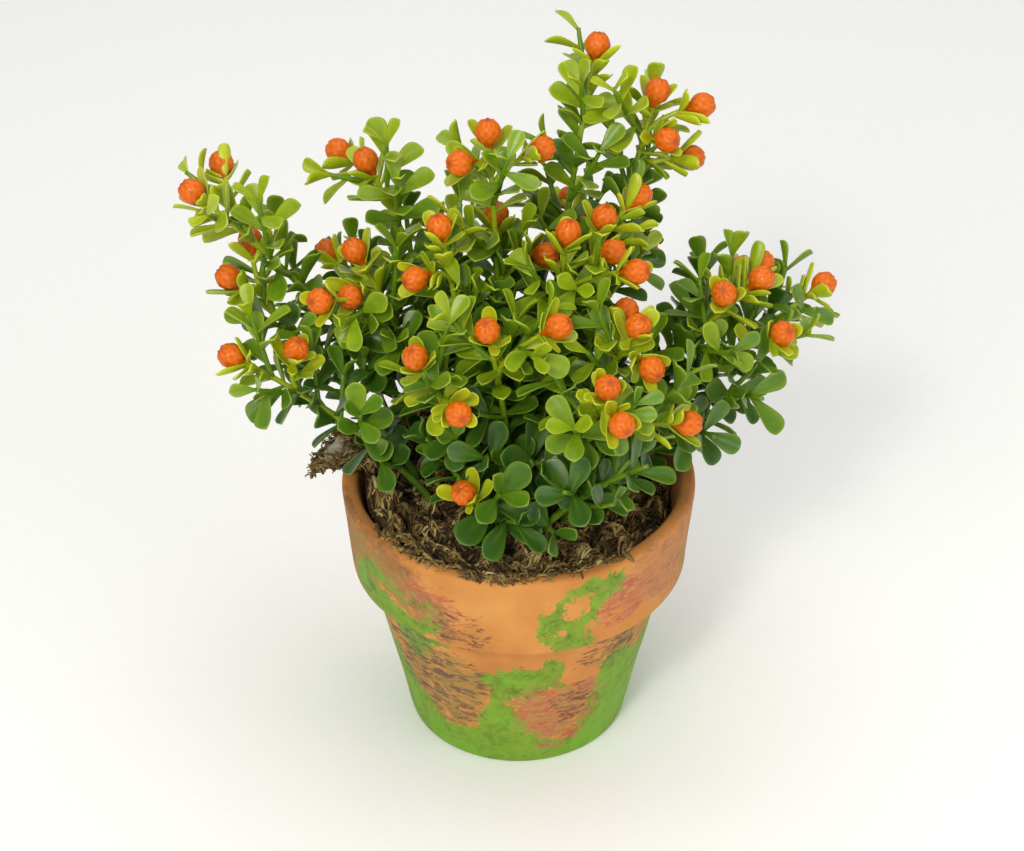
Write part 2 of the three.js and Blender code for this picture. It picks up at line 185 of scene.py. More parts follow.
def ripple(points: Array, size: float, seed: int, waves: int = 14) -> Array:
    """A smooth field of bumps and hollows, made of crossing sine waves.

    Args:
        points: The places, in millimetres, as rows of any number of coordinates.
        size: How far apart two bumps are, in millimetres.
        seed: Which field it is.
        waves: How many waves cross.

    Returns:
        A value for each place, mostly from -2 to 2 and about 0 on the whole.
    """
    rng = np.random.default_rng(seed)
    directions = unit(rng.normal(size=(waves, points.shape[-1])))
    pitches = FULL_TURN / (size * rng.uniform(0.65, 1.6, waves))
    phases = rng.uniform(0, FULL_TURN, waves)
    return np.sin(points @ (directions * pitches[:, None]).T + phases).sum(-1) / math.sqrt(waves / 2)


def smooth_step(low: float, high: float, value: Array) -> Array:
    """0 below the low end, 1 above the high end, and a soft rise between them."""
    share = np.clip((value - low) / (high - low), 0, 1)
    return share * share * (3 - 2 * share)


def mixed(start: float, end: float, share: Amount) -> Amount:
    """The value at a share of the way from one value to another."""
    return start + (end - start) * share


def steady_draw(number: int) -> float:
    """A draw from -0.5 to 0.5 that is always the same for a number, as the solids have it."""
    return (number * Growth.GOLDEN) % 1 - 0.5


# Finishes


def linear(code: str) -> tuple[float, float, float, float]:
    """Turns an sRGB colour to the linear one that shaders want.

    Args:
        code: The colour as "#RRGGBB".

    Returns:
        Red, green, blue and an alpha of 1.
    """
    shares = [int(code[i : i + 2], 16) / 255 for i in (1, 3, 5)]
    red, green, blue = [c / 12.92 if c <= 0.04045 else ((c + 0.055) / 1.055) ** 2.4 for c in shares]
    return red, green, blue, 1.0


class Recipe:
    """A material's nodes while they are laid out."""

    def __init__(self, name: str) -> None:
        """Starts an empty material with only its output."""
        self.material = bpy.data.materials.new(name)
        self.material.use_nodes = True
        self.tree = self.material.node_tree
        self.tree.nodes.clear()
        self.end = self.tree.nodes.new("ShaderNodeOutputMaterial")

    def add(
        self, kind: str, inputs: dict | None = None, stops: tuple = (), out: int | str = 0, **settings
    ) -> bpy.types.NodeSocket:
        """Adds a node with its settings and links.

        Args:
            kind: The node's type without the "ShaderNode" before it.
            inputs: A value, a colour code or another node's output for each input name or number.
            stops: Places and colour codes, for a ramp.
            out: The number or name of the output that is wanted.
            **settings: Properties of the node itself.

        Returns:
            That output.
        """
        node = self.tree.nodes.new("ShaderNode" + kind)
        for name, value in settings.items():
            setattr(node, name, value)
        for name, value in (inputs or {}).items():
            if isinstance(value, bpy.types.NodeSocket):
                self.tree.links.new(value, node.inputs[name])
            else:
                node.inputs[name].default_value = linear(value) if isinstance(value, str) else value
        for i, (place, code) in enumerate(stops):
            ramp = node.color_ramp.elements
            stop = ramp[i] if i < 2 else ramp.new(place)
            stop.position, stop.color = place, linear(code)
        return node.outputs[out]

    def millimetres(self) -> bpy.types.NodeSocket:
        """The place on the piece in millimetres, so that patterns keep their real sizes."""
        place = self.add("TexCoord", out="Object")
        return self.add("Mapping", {"Vector": place, "Scale": (1 / MM,) * 3})


class Finish:
    """A surface finish that is laid out once and then shared by its pieces."""

    name = "finish"
    _made: dict[str, bpy.types.Material] = {}

    def material(self) -> bpy.types.Material:
        """The Blender material of this finish, made at its first use."""
        if self.name not in Finish._made:
            recipe = Recipe(self.name)
            recipe.tree.links.new(self.lay_out(recipe), recipe.end.inputs["Surface"])
            Finish._made[self.name] = recipe.material
        return Finish._made[self.name]

    def lay_out(self, recipe: Recipe) -> bpy.types.NodeSocket:
        """Adds this finish's nodes to a recipe and returns the surface for its output."""
        raise NotImplementedError


@dataclass(frozen=True)
class Coat:
    """One paint on the clay: its tones, the noise that breaks its edge up, and how it lies.

    The reach is how far the noise moves the edge, and the softness half the width over which the edge
    fades, both in millimetres. The cover is 1 where nothing shows through.
    """

    tones: tuple[tuple[float, str], ...]
    noise: bpy.types.NodeSocket
    reach: float
    softness: float
    cover: float


@dataclass(frozen=True)
class PaintedTerracotta(Finish):
    """Fired terracotta clay, turned and left bare, with water paint dabbed on by sponge and brush.

    Bare clay scatters all light, so it shows no highlight. The paint lies so thin
    that the grain of the clay shows in it, and it broke up where the sponge lifted off.
    """

    name = "painted_terracotta"
    clay: str = "#CA8642"
    clay_pale: str = "#D4944C"
    clay_deep: str = "#BB793C"
    green: str = "#6F9420"
    green_bright: str = "#6FB428"
    green_deep: str = "#4E741A"
    green_pale: str = "#7E9C2A"
    umber: str = "#986E40"
    umber_deep: str = "#7E583A"
    mauve: str = "#B98460"
    mauve_deep: str = "#9A6A50"
    rust: str = "#AD523A"
    rust_pale: str = "#C0765A"
    olive: str = "#857A36"
    olive_pale: str = "#A28444"
    stroke: str = "#4E443A"
    stroke_pale: str = "#75543C"
    soil: str = "#7C5530"
    grain_mm: float = 0.45
    cloud_mm: float = 16.0
    dab_mm: float = 3.2
    mark_mm: float = 2.1
    fleck_mm: float = 1.6
    roughness: float = 0.78
    paint_roughness: float = 0.6
    ior: float = 1.5

    def lay_out(self, recipe: Recipe) -> bpy.types.NodeSocket:
        """Clay with soft clouds, then the stains, the green, rust, strokes and soil over each other."""
        add = recipe.add
        scaled = recipe.millimetres()
        cloud = add("TexNoise", {"Vector": scaled, "Scale": 1 / self.cloud_mm, "Detail": 4.0})
        sponge = {"Scale": 1 / self.dab_mm, "Detail": 6.0, "Roughness": 0.68, "Distortion": 0.6}
        dab = add("TexNoise", {"Vector": scaled, **sponge})
        spatter = {"Scale": 1 / self.fleck_mm, "Detail": 4.0, "Roughness": 0.7}
        fleck = add("TexNoise", {"Vector": scaled, **spatter})
        grain = add("TexNoise", {"Vector": scaled, "Scale": 1 / self.grain_mm, "Detail": 3.0})
        # Brush marks run slantwise round the pot, so their noise is drawn out along them.
        slant = add("Mapping", {"Vector": scaled, "Rotation": (0.5, 0.7, 0.3), "Scale": (0.45, 0.45, 1.4)})
        brush = {"Scale": 1 / self.mark_mm, "Detail": 5.0, "Roughness": 0.7, "Distortion": 1.0}
        marks = add("TexNoise", {"Vector": slant, **brush})
        clays = ((0.3, self.clay_deep), (0.7, self.clay_pale), (0.5, self.clay))
        colour = add("ValToRGB", {"Fac": cloud}, clays)

        umbers = ((0.35, self.umber), (0.62, self.umber_deep))
        mauves = ((0.4, self.mauve), (0.6, self.mauve_deep))
        olives = ((0.42, self.olive), (0.56, self.olive_pale))
        greens = ((0.36, self.green_deep), (0.66, self.green_pale), (0.5, self.green))
        rusts = ((0.4, self.rust), (0.6, self.rust_pale))
        strokes = ((0.4, self.stroke), (0.62, self.stroke_pale))
        coats = {
            "umber": Coat(umbers, dab, reach=4.0, softness=3.0, cover=0.8),
            "mauve": Coat(mauves, marks, reach=4.5, softness=2.4, cover=0.75),
            "olive": Coat(olives, dab, reach=5.0, softness=1.2, cover=0.8),
            "green": Coat(greens, fleck, reach=1.8, softness=0.5, cover=0.95),
            "rust": Coat(rusts, marks, reach=6.0, softness=1.3, cover=0.8),
            "stroke": Coat(strokes, marks, reach=6.0, softness=1.3, cover=0.82),
        }
        for key, coat in coats.items():
            patch = add("Attribute", out="Fac", attribute_name=key)
            moves = {"From Min": 0.3, "From Max": 0.7, "To Min": -coat.reach, "To Max": coat.reach}
            spread = add("MapRange", {"Value": coat.noise, **moves}, clamp=False)
            edge = add("Math", {0: patch, 1: spread}, operation="ADD")
            fades = {"From Min": -coat.softness, "From Max": coat.softness, "To Max": coat.cover}
            mask = add("MapRange", {"Value": edge, **fades}, interpolation_type="SMOOTHSTEP")
            tone = add("ValToRGB", {"Fac": dab}, coat.tones)
            if key == "green":
                green_mask = mask
                bright = add("Attribute", out="Fac", attribute_name="bright")
                tone = add("Mix", {0: bright, 6: tone, 7: self.green_bright}, out=2, data_type="RGBA")
            colour = add("Mix", {0: mask, 6: colour, 7: tone}, out=2, data_type="RGBA")
        soil = add("Attribute", out="Fac", attribute_name="soil")
        soiled = add("Math", {0: soil, 1: dab}, operation="MULTIPLY")
        colour = add("Mix", {0: soiled, 6: colour, 7: self.soil}, out=2, data_type="RGBA")
        specks = add("MapRange", {"Value": grain, "From Min": 0.66, "From Max": 0.74, "To Max": 0.35})
        colour = add("Mix", {0: specks, 6: colour, 7: self.umber_deep}, out=2, data_type="RGBA")

        height = add("Math", {0: grain, 1: fleck, 2: 0.5}, operation="MULTIPLY_ADD")
        height = add("Math", {0: green_mask, 1: 0.25, 2: height}, operation="MULTIPLY_ADD")
        bump = add("Bump", {"Height": height, "Strength": 0.45, "Distance": 0.25 * MM})
        sheens = {"To Min": self.roughness, "To Max": self.paint_roughness}
        rough = add("MapRange", {"Value": green_mask, **sheens})
        gloss = {"Roughness": rough, "IOR": self.ior, "Specular IOR Level": 0.3}
        return add("BsdfPrincipled", {"Base Color": colour, "Normal": bump, **gloss})


@dataclass(frozen=True)
class MouldedFoliage(Finish):
    """Soft polyethylene, injection moulded in one shot with its stem, dyed through and shaded by hand.

    The plastic is waxy: a broad soft highlight on the upper face and a little light that comes through
    the thin blade. The rim is paler, partly its own colour and partly a painted highlight where the blade
    is rolled up. Leaves low in the plant and under the crown are painted darker as shade.
    """

    name = "moulded_foliage"
    tones: tuple = (
        (0.0, "#B6C11E"),
        (1.0, "#315A18"),
        (0.22, "#8FA60C"),
        (0.45, "#658A10"),
        (0.72, "#446F18"),
    )
    rim_young: str = "#CCD43A"
    rim_old: str = "#76962C"
    rib: str = "#86A522"
    stain_mm: float = 2.6
    pore_mm: float = 0.5
    roughness: float = 0.3
    ior: float = 1.45
    glow: float = 0.1
    glow_mm: float = 0.9
    stain_drift: float = 0.16
    rim_cover: float = 0.46
    rib_cover: float = 0.3

    def lay_out(self, recipe: Recipe) -> bpy.types.NodeSocket:
        """One ramp from the young tips to the old leaves, which also paints low and covered leaves darker
        as shade, with a pale rim and a faint rib.
        """
        add = recipe.add
        scaled = recipe.millimetres()
        stain = add("TexNoise", {"Vector": scaled, "Scale": 1 / self.stain_mm, "Detail": 3.0})
        pores = add("TexNoise", {"Vector": scaled, "Scale": 1 / self.pore_mm, "Detail": 2.0})
        age, edge, rib = (add("Attribute", out="Fac", attribute_name=key) for key in ("age", "edge", "rib"))
        drift = add("MapRange", {"Value": stain, "To Min": -self.stain_drift, "To Max": self.stain_drift})
        shade = add("Math", {0: age, 1: drift}, operation="ADD")
        # The ramp's dark end also serves as painted shade for low and covered leaves.
        tone = add("ValToRGB", {"Fac": shade}, stops=self.tones)
        # The paler rim is partly the leaf's own colour and partly a painted highlight on its rolled-up
        # edge.
        rim = add("Mix", {0: age, 6: self.rim_young, 7: self.rim_old}, out=2, data_type="RGBA")
        rim_share = add("Math", {0: edge, 1: self.rim_cover}, operation="MULTIPLY")
        tone = add("Mix", {0: rim_share, 6: tone, 7: rim}, out=2, data_type="RGBA")
        rib_share = add("Math", {0: rib, 1: self.rib_cover}, operation="MULTIPLY")
        tone = add("Mix", {0: rib_share, 6: tone, 7: self.rib}, out=2, data_type="RGBA")
        sheens = {"To Min": self.roughness - 0.08, "To Max": self.roughness + 0.14}
        rough = add("MapRange", {"Value": stain, **sheens})
        bump = add("Bump", {"Height": pores, "Strength": 0.12, "Distance": 0.1 * MM})
        gloss = {"Roughness": rough, "IOR": self.ior}
        glow = {
            "Subsurface Weight": self.glow,
            "Subsurface Radius": (0.7, 1.0, 0.25),
            "Subsurface Scale": self.glow_mm * MM,
        }
        return add("BsdfPrincipled", {"Base Color": tone, "Normal": bump, **gloss, **glow})


@dataclass(frozen=True)
class PaintedBead(Finish):
    """Moulded polystyrene bead with a coat of orange paint.

    The orange is painted deeper red in the grooves as shade and paler on the bumps, which carry small
    painted glints as pale specks.
    """

    name = "painted_bead"
    crest: str = "#E27616"
    body: str = "#D86206"
    groove: str = "#B84906"
    crown: str = "#9E4E1A"
    painted_glint: str = "#F0944E"
    glint_and_bump_mm: float = 0.5
    roughness: float = 0.5
    ior: float = 1.42

    def lay_out(self, recipe: Recipe) -> bpy.types.NodeSocket:
        """Orange painted deeper in the grooves as shade, with painted glints as pale specks and a browner
        crown.
        """
        add = recipe.add
        scaled = recipe.millimetres()
        noise = add("TexNoise", {"Vector": scaled, "Scale": 1 / self.glint_and_bump_mm, "Detail": 2.0})
        relief = add("Attribute", out="Fac", attribute_name="relief")
        crown = add("Attribute", out="Fac", attribute_name="crown")
        # Grooves are painted deeper red as shade and crests paler.
        oranges = ((0.05, self.groove), (0.95, self.crest), (0.5, self.body))
        tone = add("ValToRGB", {"Fac": relief}, oranges)
        # Pale specks on the raised bumps are painted glints.
        raised = add("Math", {0: noise, 1: relief}, operation="MULTIPLY")
        painted_glint = add("MapRange", {"Value": raised, "From Min": 0.56, "From Max": 0.64, "To Max": 0.5})
        tone = add("Mix", {0: painted_glint, 6: tone, 7: self.painted_glint}, out=2, data_type="RGBA")
        tone = add("Mix", {0: crown, 6: tone, 7: self.crown}, out=2, data_type="RGBA")
        bump = add("Bump", {"Height": noise, "Strength": 0.3, "Distance": 0.12 * MM})
        gloss = {"Roughness": self.roughness, "IOR": self.ior, "Specular IOR Level": 0.25}
        lacquer = {"Coat Weight": 0.2, "Coat Roughness": 0.1}
        return add("BsdfPrincipled", {"Base Color": tone, "Normal": bump, **gloss, **lacquer})


@dataclass(frozen=True)
class DriedMoss(Finish):
    """Sheet moss, dried and shredded: dull curled fibres, pale where they bleached, with painted shade in
    between.
    """

    name = "dried_moss"
    # The dark end of the ramp is painted shade for the hollows between the curls.
    tones: tuple = (
        (0.0, "#1F160A"),
        (1.0, "#CDB983"),
        (0.3, "#4F3B1C"),
        (0.55, "#836737"),
        (0.8, "#AD9554"),
    )
    pale: str = "#B9B3A4"
    fibre_mm: float = 0.6
    roughness: float = 0.95

    def lay_out(self, recipe: Recipe) -> bpy.types.NodeSocket:
        """A ramp from painted shade in the hollows to the bleached curls, streaked by fine noise."""
        add = recipe.add
        scaled = recipe.millimetres()
        strands = {"Scale": 1 / self.fibre_mm, "Detail": 3.0, "Roughness": 0.7}
        fibres = add("TexNoise", {"Vector": scaled, **strands})
        tone = add("Attribute", out="Fac", attribute_name="tone")
        pale = add("Attribute", out="Fac", attribute_name="pale")
        streaks = {"From Min": 0.25, "From Max": 0.75, "To Min": -0.16, "To Max": 0.16}
        drift = add("MapRange", {"Value": fibres, **streaks})
        shade = add("Math", {0: tone, 1: drift}, operation="ADD")
        colour = add("ValToRGB", {"Fac": shade}, stops=self.tones)
        colour = add("Mix", {0: pale, 6: colour, 7: self.pale}, out=2, data_type="RGBA")
        bump = add("Bump", {"Height": fibres, "Strength": 0.5, "Distance": 0.2 * MM})
        return add("BsdfPrincipled", {"Base Color": colour, "Roughness": self.roughness, "Normal": bump})


@dataclass(frozen=True)
class FloristFoam(Finish):
    """Phenolic florist's foam, cut from a block: a dull green crumb of open cells."""

    name = "florist_foam"
    light: str = "#4C5B3E"
    deep: str = "#2A3423"
    cell_mm: float = 0.9
    roughness: float = 0.97

    def lay_out(self, recipe: Recipe) -> bpy.types.NodeSocket:
        """Two greens over a bump of small cells."""
        add = recipe.add
        scaled = recipe.millimetres()
        cells = add("TexVoronoi", {"Vector": scaled, "Scale": 1 / self.cell_mm})
        tone = add("ValToRGB", {"Fac": cells}, stops=((0.1, self.deep), (0.7, self.light)))
        bump = add("Bump", {"Height": cells, "Strength": 0.7, "Distance": 0.4 * MM})
        return add("BsdfPrincipled", {"Base Color": tone, "Roughness": self.roughness, "Normal": bump})


@dataclass(frozen=True)
class PaleSweep(Finish):
    """Matt white paper sweep of a studio: even, with only a breath of tooth."""

    name = "pale_sweep"
    paper: str = "#FCFCFA"
    shade: str = "#F8F8F5"
    tooth_mm: float = 3.0
    roughness: float = 0.9

    def lay_out(self, recipe: Recipe) -> bpy.types.NodeSocket:
        """Nearly one tone, clouded very slightly."""
        add = recipe.add
        scaled = recipe.millimetres()
        tooth = add("TexNoise", {"Vector": scaled, "Scale": 1 / self.tooth_mm})
        tone = add("Mix", {0: tooth, 6: self.paper, 7: self.shade}, out=2, data_type="RGBA")
        return add("BsdfPrincipled", {"Base Color": tone, "Roughness": self.roughness})


class Body(Enum):
    """The body of the frame that a piece moves with."""

    ROOT = "root"


class Slot(Enum):
    """The record's material slots."""

    TERRACOTTA = "terracotta"
    FOAM = "foam"
    MOSS = "moss"
    FOLIAGE = "foliage"
    BEAD = "coral_bead"


def dress(shape: Shape, name: str, finish: Finish, node: str) -> bpy.types.Object:
    """Makes a piece that stands for a solid of the frame.

    Args:
        shape: Its mesh.
        name: Its name.
        finish: Its finish.
        node: The solid that it replaces.

    Returns:
        The object.
    """
    piece = shape.to_object(name, finish)
    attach(piece, Body.ROOT.value)
    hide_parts(node)
    faces = len(shape.quads) * 2 + len(shape.triangles)
    log.info("%s: %d triangles in place of %s", name, faces, node)
    return piece


# Pot


@dataclass(frozen=True)
class Patch:
    """A patch of paint on the pot, as the corners of its outline.

    The corners are degrees round the pot from the front, positive to the right, and millimetres up.
    """

    corners: tuple[Span, ...]
    holes: tuple[tuple[Span, ...], ...] = ()

    def depth(self, azimuth: Array, height: Array, radius: Array) -> Array:
        """How deep inside the patch places on the pot lie, in millimetres, and less than 0 outside.

        Args:
            azimuth: Degrees round the pot.
            height: Millimetres above its underside.
            radius: Millimetres from its axis.

        Returns:
            The depth of each place.
        """
        depth = self._depth_in(self.corners, azimuth, height, radius)
        for hole in self.holes:
            depth = np.minimum(depth, -self._depth_in(hole, azimuth, height, radius))
        return depth

    @staticmethod
    def rounded(corners: tuple) -> tuple:
        """An outline with each corner cut back to a quarter of its sides, so that it runs softer."""
        cut = []
        for (a0, z0), (a1, z1) in zip(corners, corners[1:] + corners[:1]):
            cut.append((0.75 * a0 + 0.25 * a1, 0.75 * z0 + 0.25 * z1))
            cut.append((0.25 * a0 + 0.75 * a1, 0.25 * z0 + 0.75 * z1))
        return tuple(cut)

    @staticmethod
    def _depth_in(corners: tuple, azimuth: Array, height: Array, radius: Array) -> Array:
        """How deep inside one outline places lie, in millimetres."""
        middle = sum(corner[0] for corner in corners) / len(corners)
        corners = Patch.rounded(corners)
        across = np.radians((azimuth - middle + 180) % 360 - 180) * radius
        inside = np.zeros(len(azimuth), bool)
        nearest = np.full(len(azimuth), np.inf)
        for (a0, z0), (a1, z1) in zip(corners, corners[1:] + corners[:1]):
            x0, x1 = np.radians(a0 - middle) * radius, np.radians(a1 - middle) * radius
            dx, dz = x1 - x0, z1 - z0
            share = np.clip(((across - x0) * dx + (height - z0) * dz) / (dx * dx + dz * dz + 1e-9), 0, 1)
            nearest = np.minimum(nearest, np.hypot(across - x0 - share * dx, height - z0 - share * dz))
            if z0 != z1:
                crossing = x0 + (height - z0) / dz * dx
                inside ^= ((z0 > height) != (z1 > height)) & (across < crossing)
        return np.where(inside, nearest, -nearest)


@dataclass
class Pot:
    """The terracotta pot: a tapered cup with a drain hole and a deep collar band at the rim."""

    height: float = 73.0
    rim_radius: float = 45.0
    band_height: float = 24.4
    band_bottom_radius: float = 42.8
    body_top_radius: float = 38.6
    base_radius: float = 28.3
    lip: float = 4.0
    floor: float = 5.0
    inner_floor_radius: float = 24.0
    drain_radius: float = 5.0
    sides: int = 256
    step: float = 1.3
    waviness: float = 0.09
    wave_size: float = 24.0
    soil_depth: float = 6.0
    lip_soil: float = 0.75
    bright_low: Span = (26.0, 4.0)
    bright_spot: float = 12.0
    brightness: float = 0.3
    deepest_paint: float = 8.0
    no_paint: float = -9.0

    # How far the outlines of the paint wander, and over what distance in millimetres: twice sideways in
    # degrees, then twice upwards in millimetres.
    wander: tuple[Span, ...] = ((0.9, 11), (0.6, 5), (0.5, 10), (0.4, 4.5))

    green: tuple[Patch, ...] = (
        Patch(((-67, 61), (-60, 64), (-52, 63), (-45, 62), (-35, 61.5), (-26, 59.5), (-27, 56), (-33, 50),
               (-30, 45), (-38, 40), (-46, 33), (-56, 40), (-62, 47), (-72, 51)),
              holes=(((-59, 61.5), (-45, 61), (-33, 58.5), (-31, 54.5), (-38, 53.5), (-48, 56),
                      (-58, 57)),)),
        Patch(((35, 68.5), (28, 71), (22, 70.5), (12, 67), (7, 60.5), (7.5, 53), (10, 48.5), (17, 48.5),
               (22, 50), (21, 55), (28, 62)),
              holes=(((14, 66.5), (24, 67), (24, 61.5), (17, 59), (10.5, 60)),
                     ((8, 57), (14.5, 57), (11.5, 51)))),
        Patch(((-20, 35.5), (-15, 36), (-9, 38), (0, 39), (7, 38), (10, 38.5), (11, 41.5), (14.5, 41),
               (13.5, 37), (16.5, 33), (16, 29.5), (11, 31), (4, 29), (-4, 27), (-9, 22), (-14, 25),
               (-9, 31))),
        Patch(((-106, -14), (-106, 40), (-97, 45), (-88, 47), (-79, 44), (-72, 36), (-62, 28), (-54, 20),
               (-45, 13), (-36, 9), (-28, 11), (-20, 15), (-14, 23), (-6, 24), (2, 17), (6, 11), (16, 8),
               (25, 9), (31, 14), (35, 21), (34, 30), (39, 36), (48, 36), (57, 31), (66, 33), (77, 42),
               (90, 45), (100, 40), (106, 34), (106, -14))),
        Patch(((74, -14), (74, 40), (90, 42), (101, 37), (108, 29), (115, 22), (124, 19), (132, 24),
               (139, 30), (147, 29), (154, 21), (162, 14), (175, 10), (186, 15), (194, 22), (202, 23),
               (210, 16), (222, 11), (234, 17), (243, 27), (252, 36), (262, 36), (274, 33), (286, 28),
               (286, -14))),
        Patch(((118, 57), (126, 66), (140, 69), (149, 62), (143, 54), (150, 47), (138, 43), (125, 49)),
              holes=(((131, 60), (139, 62), (137, 56)),)),
        Patch(((183, 62), (196, 68), (212, 66), (226, 69), (233, 61), (221, 55), (212, 50), (199, 54))),
        Patch(((252, 51), (258, 60), (270, 66), (279, 58), (283, 51), (270, 45))),
    )
    umber: tuple[Patch, ...] = (
        Patch(((-92, 60), (-90, 73), (-64, 73.5), (-40, 72), (-34, 66), (-28, 61), (-22, 54), (-26, 50),
               (-38, 56), (-52, 60), (-62, 62), (-70, 58), (-84, 50))),
        Patch(((204, 60), (214, 72), (240, 73), (262, 70), (258, 58), (236, 52), (218, 53))),
        Patch(((208, 28), (220, 40), (238, 38), (246, 30), (232, 20), (216, 19))),
    )
    mauve: tuple[Patch, ...] = (
        Patch(((34, 62), (38, 70), (48, 73.5), (88, 73.5), (96, 66), (92, 54), (78, 50), (66, 49),
               (54, 54), (45, 56))),
        Patch(((-58, 34), (-48, 42), (-36, 36), (-20, 34), (-22, 26), (-28, 19), (-38, 14), (-50, 20))),
        Patch(((40, 41), (52, 43), (57, 38), (50, 31), (42, 34))),
        Patch(((104, 52), (112, 70), (128, 73), (158, 71), (170, 60), (160, 50), (140, 47), (120, 48))),
        Patch(((112, 30), (124, 38), (136, 36), (130, 24), (118, 22))),
    )
    rust: tuple[Patch, ...] = (
        Patch(((-4, 25), (6, 29), (18, 30), (30, 28), (36, 21), (33, 13), (25, 8), (14, 8), (4, 14))),
        Patch(((30, 64), (36, 66), (44, 63), (41, 57), (34, 55), (27, 57))),
        Patch(((-40, 66), (-26, 63), (-20, 58), (-30, 56), (-42, 61))),
        Patch(((160, 30), (176, 34), (188, 27), (184, 16), (168, 15))),
        Patch(((226, 66), (240, 68), (248, 60), (236, 55))),
    )
    olive: tuple[Patch, ...] = (
        Patch(((-62, 38), (-44, 44), (-26, 40), (-16, 36), (-16, 26), (-24, 16), (-40, 10), (-56, 18))),
        Patch(((-6, 26), (10, 31), (32, 28), (44, 20), (30, 7), (4, 7))),
        Patch(((36, 42), (52, 45), (66, 44), (66, 33), (50, 28), (38, 32))),
        Patch(((-78, 66), (-60, 70), (-40, 66), (-30, 58), (-44, 56), (-66, 52))),
        Patch(((66, 60), (84, 64), (96, 56), (88, 47), (70, 48))),
        Patch(((200, 44), (226, 48), (250, 40), (246, 20), (212, 16))),
        Patch(((104, 66), (128, 72), (160, 68), (168, 52), (140, 46), (112, 48))),
    )
    strokes: tuple[Patch, ...] = (
        Patch(((-65, 40), (-48, 43), (-34, 38), (-18, 36), (-20, 28), (-24, 19), (-34, 13), (-46, 17),
               (-60, 28))),
        Patch(((28, 41), (36, 45), (44, 44), (49, 39), (44, 35), (36, 36), (27, 37))),
        Patch(((16, 25), (26, 25), (30, 19), (22, 17))),
        Patch(((-28, 57), (-18, 58), (-14, 52), (-22, 50))),
        Patch(((146, 40), (158, 43), (168, 36), (156, 31))),
        Patch(((228, 36), (240, 40), (250, 32), (238, 26))),
    )

    def outline(self) -> Array:
        """The closed section of the pot, rounded at its corners and cut into short steps.

        Returns:
            Points of radius and height, from the underside outwards and up, and back down inside.
        """
        top, band = self.height, self.height - self.band_height
        corners = [
            (self.drain_radius, 0, 0.6),
            (self.base_radius, 0, 1.4),
            (self.body_top_radius, band, 1.1),
            (self.band_bottom_radius, band, 1.3),
            (self.rim_radius, top, 1.7),
            (self.rim_radius - self.lip, top, 1.6),
            (self.inner_floor_radius, self.floor, 3.5),
            (self.drain_radius, self.floor, 0.8),
        ]
        arcs = []
        for i, (radius, height, rounding) in enumerate(corners):
            here = np.array([radius, height])
            before = unit(np.array(corners[i - 1][:2]) - here)
            after = unit(np.array(corners[(i + 1) % len(corners)][:2]) - here)
            half = math.acos(np.clip(before @ after, -1, 1)) / 2
            reach = rounding / math.tan(half)
            shares = np.linspace(0, 1, 6)[:, None]
            start, end = here + before * reach, here + after * reach
            arcs.append((1 - shares) ** 2 * start + 2 * shares * (1 - shares) * here + shares**2 * end)
        points = []
        for i, arc in enumerate(arcs):
            points.extend(arc)
            start, end = arc[-1], arcs[(i + 1) % len(arcs)][0]
            count = max(1, round(float(np.linalg.norm(end - start)) / self.step))
            points.extend(start + (end - start) * k / count for k in range(1, count))
        return np.array(points)

    def inner_radius(self, height: Amount) -> Amount:
        """The inner wall's distance from the axis at a height."""
        share = (height - self.floor) / (self.height - self.floor)
        return self.inner_floor_radius + (self.rim_radius - self.lip - self.inner_floor_radius) * share

    def deepest(
        self, patches: tuple[Patch, ...], azimuth: Array, height: Array, radius: Array, seed: int
    ) -> Array:
        """How deep places lie in the nearest of some patches, whose outlines wander a little.

        Args:
            patches: The patches of one paint.
            azimuth: The places' degrees round the pot.
            height: Their millimetres above the underside.
            radius: Their millimetres from the axis.
            seed: Which way the outlines wander.

        Returns:
            Millimetres, with a limit both ways.
        """
        turn = np.radians(azimuth)
        spots = np.stack([radius * np.sin(turn), radius * np.cos(turn), height], axis=-1)
        waves = [amount * ripple(spots, size, seed + k) for k, (amount, size) in enumerate(self.wander)]
        bent, raised = azimuth + waves[0] + waves[1], height + waves[2] + waves[3]
        depths = [patch.depth(bent, raised, radius) for patch in patches]
        return np.clip(np.max(depths, axis=0), -self.deepest_paint, self.deepest_paint)

    def shape(self) -> Shape:
        """The turned pot with the depth of each paint at every point."""
        section = self.outline()
        turn = np.linspace(0, FULL_TURN, self.sides, endpoint=False)
        radius = np.broadcast_to(section[:, :1], (len(section), self.sides)).ravel().copy()
        height = np.broadcast_to(section[:, 1:], (len(section), self.sides)).ravel().copy()
        angle = np.broadcast_to(turn, (len(section), self.sides)).ravel()
        points = np.stack([radius * np.cos(angle), radius * np.sin(angle), height], axis=-1)
        radius += self.waviness * ripple(points, self.wave_size, 3) * smooth_step(0, 4, height)
        points[:, 0], points[:, 1] = radius * np.cos(angle), radius * np.sin(angle)
        azimuth = np.degrees(np.arctan2(points[:, 0], -points[:, 1]))
        beyond = radius - self.inner_radius(height) - self.lip / 2
        outside = smooth_step(-0.6, 0.4, beyond)
        inside = 1 - outside
